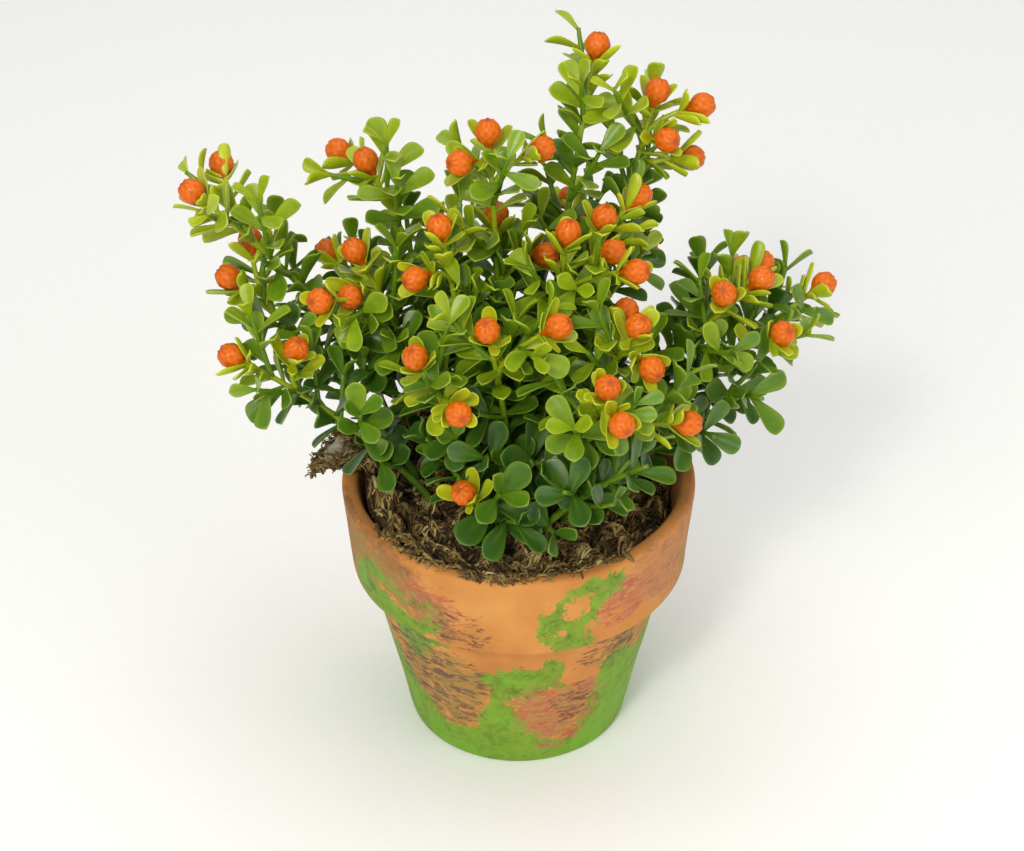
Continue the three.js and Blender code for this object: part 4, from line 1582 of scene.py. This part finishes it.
    def node_sites(
        self, shoot: Shoot, back: float, habit: Habit, turn: float, number: int, **facts
    ) -> list[Site]:
        """The sites of the leaves round one node, each a little further back than the one before.

        Args:
            shoot: The shoot.
            back: How far behind the tip the node lies, which gives its leaves' size.
            habit: How its leaves stand.
            turn: Where the first leaf stands round the shoot.
            number: The number of its draws.
            **facts: The other values of the sites.

        Returns:
            The sites.
        """
        behind = back + (0 if shoot.has_bead else self.LEAFY_HEAD_START)
        age = min(1.0, behind / self.YOUNG_SPAN)
        length, width = (mixed(tip, old, age) for tip, old in zip(self.TIP_SIZE, self.OLD_SIZE))
        sites = []
        for i in range(habit.count):
            t = shoot.arc.parameter(1 - (back + i * habit.stagger) / shoot.arc.length)
            apart = turn + FULL_TURN * i / habit.count
            sites.append(
                Site(
                    shoot.arc.point(t), shoot.arc.tangent(t), length, width, behind,
                    turn=apart + habit.turn_spread * steady_draw(number + i),
                    lift=habit.lift + habit.lift_spread * steady_draw(number + i + 3),
                    scale=habit.size * (1 + habit.size_spread * steady_draw(number + i + 7)),
                    **facts,
                )
            )
        return sites

    def sites_of(self, shoot: Shoot, spray: int, branch: int) -> list[Site]:
        """The places of the leaves on a shoot: a whorl under the tip, then pairs down the shoot."""
        seed = 5 * spray + branch
        last = self.last_back(shoot)
        sites, node = [], 0
        while (back := self.node_back(node)) < last:
            habit = self.PAIR if node else self.WHORL
            turn = (node % 2) * math.pi / 2 + self.SPIRAL * seed
            tags = (f"{spray}.{branch}", f"{spray}.{branch}.{node}")
            sites += self.node_sites(
                shoot, back, habit, turn, seed * 31 + node * 5,
                young=node == 0 and shoot.has_bead, whorl=node == 0, spray=spray, tags=tags,
            )
            node += 1
        return sites

    def filling_sites_of(self, shoot: Shoot, spray: int, branch: int) -> list[Site]:
        """Places for smaller leaves: bracts close under a bead, and pairs between the nodes."""
        seed = 5 * spray + branch
        nodes = [(self.BRACT_BACK, self.BRACT)] if shoot.has_bead else []
        between = 0.5
        while self.node_back(between) < self.last_back(shoot):
            nodes.append((self.node_back(between), self.FILLING))
            between += 1
        sites = []
        for k, (back, habit) in enumerate(nodes):
            is_bract = habit is self.BRACT
            turn = math.pi / habit.count + (k % 2) * math.pi / 2 + self.SPIRAL * seed + self.FILL_TURN
            tags = ("" if is_bract else f"{spray}.{branch}", f"{spray}.{branch}.fill{k}")
            sites += self.node_sites(
                shoot, back, habit, turn, seed * 37 + k * 7,
                young=is_bract, whorl=is_bract, spray=spray, tags=tags,
            )
        return sites

    def low_shoots_of(self, plan: SprayPlan, main: Shoot, spray: int) -> list[Shoot]:
        """The short shoots from near the foot of a spray to its low tips."""
        arcs = [self.forked(main.arc, self.LOW_FORK, np.array(tip, float)) for tip in plan.low]
        return [Shoot(arc, False, Rank.TWIG, f"{spray}.low{k}") for k, arc in enumerate(arcs)]

    def twigs_of(self, shoot: Shoot, spray: int, branch: int) -> list[Shoot]:
        """Short leafy twigs from a shoot, each towards the first side that has room.

        Args:
            shoot: The shoot that they fork from.
            spray: The number of its spray.
            branch: Its number in the spray.

        Returns:
            The twigs that found room, which is then taken.
        """
        twigs, k = [], 0
        last = shoot.arc.length - self.BARE_FORK - 2
        while (back := self.TWIG_FIRST + k * self.TWIG_STEP) < last:
            number = (5 * spray + branch) * 41 + 11 * k
            t = shoot.arc.parameter(1 - back / shoot.arc.length)
            fork, tangent = shoot.arc.point(t), shoot.arc.tangent(t)
            side = unit(np.cross(tangent, self.REFERENCE))
            over = np.cross(tangent, side)
            low, high = self.TWIG_LENGTH
            length = low + (high - low) * (steady_draw(number) + 0.5)
            lift = self.TWIG_LIFT + self.TWIG_LIFT_SPREAD * steady_draw(number + 5)
            for attempt in range(self.TWIG_TRIES):
                turn = self.TWIG_SPIRAL * k + self.TWIG_TURN * (5 * spray + branch + attempt)
                outward = side * math.cos(turn) + over * math.sin(turn)
                heading = unit(outward * math.cos(lift) + tangent * math.sin(lift))
                tip = fork + (heading + self.TWIG_RISE * UP) * length
                arc = Arc(fork, fork + heading * length * self.TWIG_BEND, tip)
                points = arc.point(np.linspace(0.35, 1, 5))
                own = (f"{spray}.{branch}",)
                clear = tip[2] > self.moss.height(tip[0], tip[1]) + self.OVER_MOSS
                rising = heading[2] > self.LEAST_RISE and clear
                if rising and all(self.room.is_free(p, own, self.TWIG_EASE) for p in points):
                    tag = f"{spray}.{branch}.twig{k}"
                    self.room.take(points, self.CLEAR, tag)
                    twigs.append(Shoot(arc, False, Rank.TWIG, tag))
                    break
            k += 1
        return twigs

    def twig_sites_of(self, twig: Shoot, spray: int, seed: int, size: float) -> list[Site]:
        """The places of the leaves on a twig: a pair that closes its tip, then crossed pairs."""
        sites, back, k = [], self.TWIG_END_BACK, 0
        while back < twig.arc.length - 2:
            habit = self.TWIG_PAIR if k else self.TWIG_END
            habit = replace(habit, size=habit.size * size)
            turn = math.pi / 2 * (k % 2) + self.TWIG_LEAF_SPIRAL * seed
            tags = (twig.tag, f"{twig.tag}.{k}")
            sites += self.node_sites(
                twig, back, habit, turn, seed * 43 + k * 3,
                young=False, whorl=k == 0, spray=spray, tags=tags,
            )
            back += self.TWIG_NODE_STEP
            k += 1
        return sites

    def leaf_at(self, site: Site, turn: float, lift: float, scale: float) -> Leaf:
        """A leaf at a site, turned round the shoot by one angle and raised from it by another."""
        side = unit(np.cross(site.tangent, self.REFERENCE))
        back = np.cross(site.tangent, side)
        outward = side * math.cos(turn) + back * math.sin(turn)
        along = unit(outward * math.cos(lift) + site.tangent * math.sin(lift))
        up = unit(site.tangent - along * float(site.tangent @ along))
        across = np.cross(up, along)
        length, width = site.length * scale, site.width * scale
        return Leaf(site.centre, along, up, across, length, width, site.young, site.back, site.tags[0])

    def points_of(self, leaf: Leaf) -> Array:
        """The points that stand for a leaf when its room is tested."""
        spots = [(0.35, 0.0)]
        for along in (0.6, 0.82, 1.0):
            half = 0.25 if along == 1.0 else 0.45
            spots += [(along, -half), (along, 0.0), (along, half)]
        along, across = np.array(spots).T
        return leaf.point(along, across)

    def place(self, sites: list[Site], ease: float) -> None:
        """Grows a leaf at each site that has room for one.

        Args:
            sites: The sites, in the order in which they take their room.
            ease: A share that the room asked for is cut to.
        """
        for site in sites:
            for turn, lift, scale in self.TRIES:
                leaf = self.leaf_at(site, site.turn + turn, site.lift + lift, site.scale * scale)
                points = self.points_of(leaf)
                x, y, z = points.T
                above = (z > self.moss.height(x, y) + self.CLEAR).all()
                outside = ((z > self.pot.height + self.CLEAR) | (np.hypot(x, y) < self.MOUTH)).all()
                within = ((points > self.lowest - self.PROUD) & (points < self.highest + self.PROUD)).all()
                if not (above and outside and within):
                    continue
                if all(self.room.is_free(point, site.tags, ease) for point in points):
                    self.room.take(points, self.CLEAR, site.tags[1])
                    self.leaves[site.spray].append(leaf)
                    break

    def grow(self) -> None:
        """Grows all sprays: the leaves of the solids first, then the bracts, the twigs and the filling."""
        self.grow_as_solids()
        log.info("grown as in the solids: %d leaves", sum(map(len, self.leaves)))
        self.keep_shown()
        filling = [
            site
            for s, shoots in enumerate(self.shoots)
            for b, shoot in enumerate(shoots)
            for site in self.filling_sites_of(shoot, s, b)
        ]
        self.place([site for site in filling if site.whorl], self.FILL_EASE)
        self.place(self.sprout(), self.TWIG_EASE)
        self.place([site for site in filling if not site.whorl], self.FILL_EASE)
        for s, shoots in enumerate(self.shoots):
            self.shoots[s] = [shoot for shoot in map(self.trimmed, shoots) if shoot]
        self.lean_from_beads()
        self.measure_crown_shade()
        log.info("with twigs and filling: %d leaves", sum(map(len, self.leaves)))

    def grow_as_solids(self) -> None:
        """Takes the room of all stems and beads and grows the whorls, then the older leaves."""
        sites = []
        for s, shoots in enumerate(self.shoots):
            for b, shoot in enumerate(shoots):
                tag = f"{s}.{b}"
                steps = math.ceil(shoot.arc.length / self.STEM_RADIUS)
                shares = shoot.arc.parameter(np.arange(steps + 1) / steps)
                self.room.take(shoot.arc.point(shares), self.CLEAR, tag)
                if shoot.has_bead:
                    self.room.take([shoot.arc.tip], self.BEAD_CLEAR, tag)
                sites += self.sites_of(shoot, s, b)
        self.place([site for site in sites if site.whorl], 1.0)
        self.place([site for site in sites if not site.whorl], 1.0)

    def sprout(self) -> list[Site]:
        """Adds the low shoots and the twigs, and gives the places of their leaves."""
        sites = []
        for s, (plan, shoots) in enumerate(zip(SPRAYS, self.shoots)):
            for k, low in enumerate(self.low_shoots_of(plan, shoots[0], s)):
                self.room.take(low.arc.point(np.linspace(0.3, 1, 9)), self.CLEAR, low.tag)
                shoots.append(low)
                sites += self.twig_sites_of(low, s, 11 * s + 5 * k, self.LOW_LEAF_SIZE)
        for s, shoots in enumerate(self.shoots):
            solid_shoots = [shoot for shoot in shoots if shoot.rank is not Rank.TWIG]
            for b, shoot in enumerate(solid_shoots):
                for k, twig in enumerate(self.twigs_of(shoot, s, b)):
                    shoots.append(twig)
                    sites += self.twig_sites_of(twig, s, 7 * s + 3 * b + k, self.TWIG_LEAF_SIZE)
        return sites

    def keep_shown(self) -> None:
        """Takes the room over each bead, and before the beads and bare spots that the photograph shows."""
        for s, shoots in enumerate(self.shoots):
            for b, shoot in enumerate(shoots):
                if not shoot.has_bead:
                    continue
                ahead = unit(shoot.arc.tangent(1.0) + UP)
                spots = [shoot.arc.tip + ahead * away for away in self.OVER_BEAD]
                if s < self.IN_THE_PHOTO:
                    spots += [shoot.arc.tip + self.FRONT * away for away in self.BEFORE_BEAD]
                self.room.take(spots, self.BEAD_CLEAR, f"{s}.{b}.shown")
        for spot in self.BARE_SPOTS:
            spots = [np.array(spot) + self.FRONT * away for away in self.BEFORE_SPOT]
            self.room.take(spots, self.BEAD_CLEAR, "bare.shown")

    def lean_from_beads(self) -> None:
        """Leans young leaves back that hide a bead of the photograph or would cut into their bead."""
        for s, (shoots, leaves) in enumerate(zip(self.shoots, self.leaves)):
            for tip in [shoot.arc.tip for shoot in shoots if shoot.has_bead]:
                for leaf in leaves:
                    if not leaf.young or np.linalg.norm(leaf.base - tip) > self.OWN_BEAD:
                        continue
                    if s < self.IN_THE_PHOTO and self.hides(leaf, tip):
                        leaf.lean_back(self.LEAN)
                    steps = 0
                    while steps < self.MOST_STEPS and self.cuts(leaf, tip):
                        leaf.lean_back(self.LEAN_STEP)
                        steps += 1

    def hides(self, leaf: Leaf, tip: Array) -> bool:
        """Whether a leaf's end stands close before a bead, seen from the front."""
        reach = leaf.point(1.0, 0.0) - tip
        before = float(reach @ self.FRONT)
        aside = float(np.linalg.norm(reach - before * self.FRONT))
        return 0 < before < self.HIDING[0] and aside < self.HIDING[1]

    def cuts(self, leaf: Leaf, tip: Array) -> bool:
        """Whether a leaf comes into the bead at a tip."""
        return float(np.linalg.norm(self.points_of(leaf) - tip, axis=-1).min()) < self.BEAD_ROOM

    def trimmed(self, shoot: Shoot) -> Shoot | None:
        """A twig without the bare end beyond its last leaf, and no twig at all where no leaf grew.

        Args:
            shoot: Any shoot.

        Returns:
            The shoot, cut where it is a twig, or None.
        """
        if shoot.rank is not Rank.TWIG:
            return shoot
        spray = int(shoot.tag.split(".")[0])
        bases = [leaf.base for leaf in self.leaves[spray] if leaf.shoot == shoot.tag]
        if not bases:
            return None
        samples = shoot.arc.point(shoot.arc.shares)
        nearest = [int(np.argmin(np.linalg.norm(samples - base, axis=-1))) for base in bases]
        last = min(1.0, shoot.arc.shares[max(nearest)] + self.TIP_SHARE)
        return Shoot(shoot.arc.cut_at(last), False, Rank.TWIG, shoot.tag)

    def measure_crown_shade(self) -> None:
        """Notes for each leaf how far it lies below the crown over it, from 0 to 1, by which it is painted
        darker as shade.
        """
        leaves = [leaf for grown in self.leaves for leaf in grown]
        bases = np.array([leaf.base for leaf in leaves])
        apart = np.hypot(*(bases[:, None, :2] - bases[None, :, :2]).transpose(2, 0, 1))
        tops = np.where(apart < self.SHADE_REACH, bases[None, :, 2], 0).max(axis=1)
        for leaf, cover in zip(leaves, smooth_step(*self.SHADE_DEPTH, tops - bases[:, 2])):
            leaf.cover = float(cover)


# Sprays


@dataclass(frozen=True)
class SpoonOutline:
    """A leaf's outline: a stalk that runs out and a blade that swells and is rounded off at its end."""

    stalk: float
    stalk_power: float
    blade: float
    blade_power: float
    end_power: float

    def half_width(self, t: Array) -> Array:
        """The half width as a share of the widest, at shares of the length."""
        stalk = self.stalk * (1 - t) ** self.stalk_power
        blade = self.blade * t**self.blade_power * np.sqrt(1 - t**self.end_power)
        return np.minimum(1, stalk + blade)


@dataclass
class LeafMould:
    """The mould of a leaf: a lens-shaped section that follows a spoon's outline.

    A leaf widens and droops between two distances behind its tip. Widths of the groove and the rib are
    shares of the half width, and places along the blade shares of its length.
    """

    rows: int = 11
    columns: int = 6
    young: SpoonOutline = SpoonOutline(0.2, 1, 1.25, 0.8, 4)
    old: SpoonOutline = SpoonOutline(0.12, 2, 1.42, 1.05, 5)
    thickness: float = 0.5
    stalk_thickness: float = 0.8
    stalk_end: float = 0.45
    slimmest: float = 0.88
    widening: Span = (8.0, 34.0)
    young_rise: float = 0.16
    drooping: Span = (5.0, 22.0)
    cup: float = 0.175
    curl_share: float = 0.05
    groove_depth: float = 0.16
    groove_width: float = 0.25
    rib_width: float = 0.2
    rib_fades: Span = (0.2, 0.9)
    rim_from: float = 0.93

    def __post_init__(self) -> None:
        """Works out the shares along and across, and the faces, which all leaves have alike."""
        step = np.arange(self.rows) / self.rows
        self.along = np.sin(math.pi / 2 * step) ** 1.15
        spots = np.cos(np.linspace(0, math.pi, self.columns + 1))
        self.across = np.concatenate([spots, spots[-2:0:-1]])
        self.face = np.concatenate([np.ones(self.columns + 1), -np.ones(self.columns - 1)])
        around = len(self.across)
        tip = self.rows * around
        self.quads = ring_quads(self.rows, around)
        last_ring = np.arange(tip - around, tip)
        self.triangles = np.vstack([fan(last_ring, tip, False), fan(np.arange(around), tip + 1, True)])

    def cast(self, leaf: Leaf, age: float, curl: float) -> Shape:
        """Casts a leaf.

        Args:
            leaf: Its place, directions and size.
            age: 0 for the youngest to 1 for the oldest.
            curl: How much more than usual its sides are rolled up.

        Returns:
            Its closed shape.
        """
        t, side = self.along[:, None], self.across[None, :]
        half = (self.young if leaf.young else self.old).half_width(t)
        s = np.abs(side)
        width = leaf.width * mixed(self.slimmest, 1, smooth_step(*self.widening, leaf.back))
        rise = mixed(self.young_rise, -Leaf.DROOP, smooth_step(*self.drooping, leaf.back))
        rise = rise + self.curl_share * curl
        cup = (self.cup + self.curl_share * curl) * s**2 * half * leaf.width
        bend = rise * t * t * leaf.length
        groove = self.groove_depth * np.exp(-((side / self.groove_width) ** 2)) * smooth_step(0, 0.3, t)
        body = mixed(self.stalk_thickness, self.thickness, smooth_step(0, self.stalk_end, t))
        swell = self.face * body / 2 * np.sqrt(np.clip(1 - s**3, 0, 1))
        t = t + 0 * s
        points = (
            leaf.base
            + leaf.along * (t * leaf.length)[..., None]
            + leaf.across * (side * half * width / 2)[..., None]
            + leaf.up * (cup + bend - groove + swell)[..., None]
        ).reshape(-1, 3)
        tip = leaf.base + (leaf.along + leaf.up * rise) * leaf.length
        points = np.vstack([points, tip, leaf.base])
        # The edge value marks the paler rim: partly the leaf's own colour, partly a painted highlight on
        # the rolled-up sides.
        sides = (0.7 * s**5 + 0.3 * s**2) * smooth_step(0.1, 0.4, t)
        end = smooth_step(self.rim_from, 1, t)
        edge = np.append(np.maximum(sides, end).ravel(), [1, 0])
        fade = 1 - smooth_step(*self.rib_fades, t)
        rib = np.exp(-((side / self.rib_width) ** 2)) * fade * (self.face > 0)
        values = {"age": np.full(len(points), age), "edge": edge, "rib": np.append(rib.ravel(), [0, 0])}
        return Shape(points, self.quads, self.triangles, values)


@dataclass
class StemDie:
    """Draws the round stems, a little thicker at each leaf node and at the foot."""

    sides: int = 8
    spacing: float = 1.5
    foot_radius: float = 0.95
    main_tip_radius: float = 0.62
    shoot_radius: float = 0.72
    shoot_tip_radius: float = 0.55
    buried_foot: float = 47.0
    node_swell: float = 0.16
    node_width: float = 0.9
    old_age: float = 0.7
    ageing: Span = (8.0, 65.0)

    def draw(self, shoot: Shoot, nodes: list[float], age_at_tip: float) -> Shape:
        """Draws the stem of a shoot.

        Args:
            shoot: The shoot.
            nodes: How far behind its tip the leaf nodes lie.
            age_at_tip: The age value at its tip.

        Returns:
            A closed tube.
        """
        arc = shoot.arc
        count = max(4, round(arc.length / self.spacing))
        shares = np.linspace(0, 1, count + 1)
        parameters = arc.parameter(shares)
        spine, tangents = arc.point(parameters), arc.tangent(parameters)
        back = arc.length * (1 - shares)
        low, high = self.shoot_radius, self.shoot_tip_radius
        if shoot.rank is Rank.MAIN:
            low, high = self.foot_radius, self.main_tip_radius
        radius = mixed(low, high, shares)
        for node in nodes:
            radius += self.node_swell * np.exp(-(((back - node) / self.node_width) ** 2))
        age = mixed(age_at_tip, self.old_age, smooth_step(*self.ageing, back))
        if shoot.rank is Rank.MAIN:
            root = np.array([spine[0][0], spine[0][1], self.buried_foot])
            spine = np.vstack([root, spine])
            tangents = np.vstack([UP, tangents])
            radius, age = np.append(low, radius), np.append(self.old_age, age)
        side = unit(np.cross(tangents[0], Growth.REFERENCE))
        turn = np.linspace(0, FULL_TURN, self.sides, endpoint=False)[:, None]
        rings = []
        for point, tangent, r in zip(spine, tangents, radius):
            side = unit(side - tangent * float(side @ tangent))
            over = np.cross(tangent, side)
            rings.append(point + r * (side * np.cos(turn) + over * np.sin(turn)))
        points = np.vstack([*rings, spine[:1], spine[-1:]])
        caps = end_caps(len(rings), self.sides)
        flat = np.zeros(len(points))
        ages = np.append(np.repeat(age, self.sides), [age[0], age[-1]])
        values = {"age": ages, "edge": flat, "rib": flat + 0.3}
        return Shape(points, ring_quads(len(rings), self.sides), caps, values)


@dataclass
class BeadMould:
    """The mould of a bead: a ball with ribs of staggered bumps, a neck below and a star-shaped crown.

    Angles are radians from the crown. The valley and the relief are shares of the radius.
    """

    radius: float = 3.2
    valley: float = 0.935
    relief: float = 0.08
    stretch: float = 1.03
    ribs: int = 9
    around: int = 45
    rows: int = 24
    neck_radius: float = 0.85
    neck_length: float = 2.0
    neck_angle: float = 0.55
    star_points: int = 5
    star_height: float = 0.28
    star_angle: float = 0.42
    star_width: float = 0.2
    crown_angle: float = 0.3

    def cast(self, tip: Array, axis: Array, turn: float) -> Shape:
        """Casts a bead.

        Args:
            tip: Its centre.
            axis: The direction of its crown.
            turn: How far it is turned round its axis.

        Returns:
            Its closed shape.
        """
        polar = np.linspace(0.16, math.pi - 0.02, self.rows)[:, None]
        angle = np.linspace(0, FULL_TURN, self.around, endpoint=False)[None, :]
        sine = np.sin(polar)
        rib = 0.5 + 0.5 * np.cos(self.ribs * angle)
        bump = 0.5 + 0.5 * np.cos(self.ribs * angle) * np.cos(self.ribs * polar)
        relief = (0.35 * rib + 0.65 * bump) * smooth_step(0.12, 0.6, sine)
        arms = (0.5 + 0.5 * np.cos(self.star_points * angle)) ** 2
        star = np.exp(-(((polar - self.star_angle) / self.star_width) ** 2)) * arms
        radius = self.radius * (self.valley + self.relief * relief) + self.star_height * star
        neck = smooth_step(math.pi - self.neck_angle, math.pi - 0.1, polar)
        flat_radius = radius * sine * (1 - neck) + self.neck_radius * (1 - 0.35 * neck) * neck
        height = radius * np.cos(polar) * self.stretch - self.neck_length * neck
        side = unit(np.cross(axis, Growth.REFERENCE))
        over = np.cross(axis, side)
        spin = angle + turn
        points = (
            tip
            + axis * height[..., None]
            + side * (flat_radius * np.cos(spin))[..., None]
            + over * (flat_radius * np.sin(spin))[..., None]
        ).reshape(-1, 3)
        top = tip + axis * self.radius * (self.valley - 0.005)
        bottom = tip + axis * float(height[-1].mean())
        points = np.vstack([points, top, bottom])
        caps = end_caps(self.rows, self.around)
        hollow = np.exp(-((polar / self.crown_angle) ** 2)) + 0 * angle
        # The relief value paints the grooves and the neck darker as shade and the bumps paler.
        values = {
            "relief": np.append(np.clip(0.25 + 0.75 * relief - 0.2 * neck, 0, 1).ravel(), [0.2, 0.2]),
            "crown": np.append(np.clip(0.8 * hollow - 0.5 * star, 0, 1).ravel(), [0.7, 0]),
        }
        return Shape(points, ring_quads(self.rows, self.around)[:, ::-1], caps[:, ::-1], values)


@dataclass
class Sprays:
    """All sprays of the plant, each as one piece of foliage and one of beads."""

    growth: Growth
    leaf_mould: LeafMould = field(default_factory=LeafMould)
    stem_die: StemDie = field(default_factory=StemDie)
    bead_mould: BeadMould = field(default_factory=BeadMould)
    ageing: Span = (4.0, 26.0)
    low_level: float = 80.0
    high_level: float = 135.0
    youngest: float = 0.03
    age_behind: float = 0.24
    # Leaves low in the plant are darker partly from age and partly as painted shade; leaves under the crown
    # are painted darker as shade.
    age_below: float = 0.5
    shade_under_crown: float = 0.32
    age_spread: float = 0.38
    curl_spread: float = 1.6
    tip_ages: Span = (0.12, 0.5)
    most_nodes: int = 9
    plain_foot: float = 6.0

    def age_and_shade_of(self, leaf: Leaf, number: int) -> float:
        """How dark a leaf is: older the further behind its tip, and painted darker as shade the lower it
        stands and the deeper it lies under the crown.
        """
        behind = float(smooth_step(*self.ageing, leaf.back))
        height = (leaf.base[2] - self.low_level) / (self.high_level - self.low_level)
        depth = float(np.clip(1 - height, 0, 1))
        age_and_shade = behind * (self.age_behind + self.age_below * depth + self.shade_under_crown * leaf.cover)
        return float(np.clip(self.youngest + age_and_shade + self.age_spread * steady_draw(number + 11), 0, 1))

    def foliage(self, number: int) -> Shape:
        """The stems and leaves of a spray."""
        parts = []
        under_bead, under_leaf = self.tip_ages
        for shoot in self.growth.shoots[number]:
            nodes = [self.growth.node_back(node) for node in range(self.most_nodes)]
            nodes = [back for back in nodes if back < shoot.arc.length - self.plain_foot]
            parts.append(self.stem_die.draw(shoot, nodes, under_bead if shoot.has_bead else under_leaf))
        for i, leaf in enumerate(self.growth.leaves[number]):
            label = 101 * number + 13 * i
            curl = self.curl_spread * steady_draw(label + 5)
            parts.append(self.leaf_mould.cast(leaf, self.age_and_shade_of(leaf, label), curl))
        return Shape.joined(parts)

    def beads(self, number: int) -> Shape | None:
        """The beads of a spray, or None where it has none."""
        parts = [
            self.bead_mould.cast(shoot.arc.tip, shoot.arc.tangent(1.0), 2.4 * number + 1.1 * i)
            for i, shoot in enumerate(self.growth.shoots[number])
            if shoot.has_bead
        ]
        return Shape.joined(parts) if parts else None

    def build(self) -> None:
        """Makes the pieces of every spray."""
        for number in range(len(SPRAYS)):
            node = f"spray_{number + 1:02d}"
            dress(self.foliage(number), f"{node}_foliage", MouldedFoliage(), node)
            beads = self.beads(number)
            if beads:
                dress(beads, f"{node}_beads", PaintedBead(), node)


# Studio


@dataclass(frozen=True)
class Panel:
    """A square soft light: its name, place and side in millimetres, power in watts and colour."""

    name: str
    place: Spot
    side: float
    power: float
    colour: str


@dataclass
class Studio:
    """A pale floor, soft light from large panels, and a camera at the height of a standing viewer."""

    target: Spot = (-1.6, 0.0, 88.0)
    eye: Spot = (-15.3, -608.8, 535.4)
    lens: float = 106.0
    sensor: float = 36.0
    floor_half: float = 9000.0
    sky: str = "#F7F7F6"
    sky_strength: float = 0.41
    panels: tuple[Panel, ...] = (
        Panel("key_panel", (-430, -860, 760), 700, 4.8, "#FFFDF8"),
        Panel("spark_lamp", (-260, -780, 900), 150, 3.2, "#FFFCF5"),
        Panel("fill_panel", (720, -560, 480), 800, 2.7, "#FFFFFF"),
        Panel("top_panel", (60, 260, 1100), 900, 4.7, "#FFFFFF"),
    )

    def place(self, name: str, data: bpy.types.ID, spot: Spot) -> bpy.types.Object:
        """Links a light or a camera to the scene, aimed at the plant from a spot in millimetres."""
        holder = bpy.data.objects.new(name, data)
        bpy.context.scene.collection.objects.link(holder)
        holder.location = Vector(spot) * MM
        holder.rotation_mode = "QUATERNION"
        aim = Vector(self.target) - Vector(spot)
        holder.rotation_quaternion = aim.to_track_quat("-Z", "Y")
        return holder

    def floor(self) -> None:
        """The floor, a sheet with a little thickness, just under the pot."""
        half, low = self.floor_half, -6.0
        ring = np.array([[-half, -half], [half, -half], [half, half], [-half, half]])
        points = np.vstack([np.c_[ring, np.full(4, low)], np.c_[ring, np.full(4, -0.02)]])
        sides = ring_quads(2, 4)
        quads = np.vstack([sides, [[3, 2, 1, 0], [4, 5, 6, 7]]])
        sheet = Shape(points, quads).to_object("floor_sweep", PaleSweep())
        sheet.data.polygons.foreach_set("use_smooth", np.zeros(len(quads), bool))

    def hang(self, panel: Panel) -> None:
        """Hangs a soft light that faces the plant."""
        light = bpy.data.lights.new(panel.name, "AREA")
        light.shape, light.size, light.energy = "SQUARE", panel.side * MM, panel.power
        light.color = linear(panel.colour)[:3]
        self.place(panel.name, light, panel.place)

    def sky_light(self) -> None:
        """The even light of a white room."""
        world = bpy.data.worlds.new("studio_air")
        world.use_nodes = True
        background = world.node_tree.nodes["Background"]
        background.inputs["Color"].default_value = linear(self.sky)
        background.inputs["Strength"].default_value = self.sky_strength
        bpy.context.scene.world = world

    def camera(self) -> None:
        """The camera, from the photograph's own place and looking at the plant's middle."""
        data = bpy.data.cameras.new("camera")
        data.lens, data.sensor_width = self.lens, self.sensor
        data.clip_start, data.clip_end = 0.05, 40.0
        bpy.context.scene.camera = self.place("camera", data, self.eye)

    def build(self) -> None:
        """Sets up the whole studio."""
        self.camera()
        self.floor()
        self.sky_light()
        for panel in self.panels:
            self.hang(panel)
        bpy.context.scene.view_settings.view_transform = "Standard"


def write_sizes() -> None:
    """Brings the view layer up to date."""
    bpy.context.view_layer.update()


def main() -> None:
    """Builds the studio and the plant, piece by piece."""
    logging.basicConfig(level=logging.INFO, format="%(message)s")
    Studio().build()
    pot = Pot()
    moss = MossLayer(pot)
    pot.build()
    FoamPlug(pot).build()
    moss.build()
    MossScrap().build()
    growth = Growth(pot, moss)
    growth.grow()
    Sprays(growth).build()
    write_sizes()


if __name__ == "__main__":
    main()
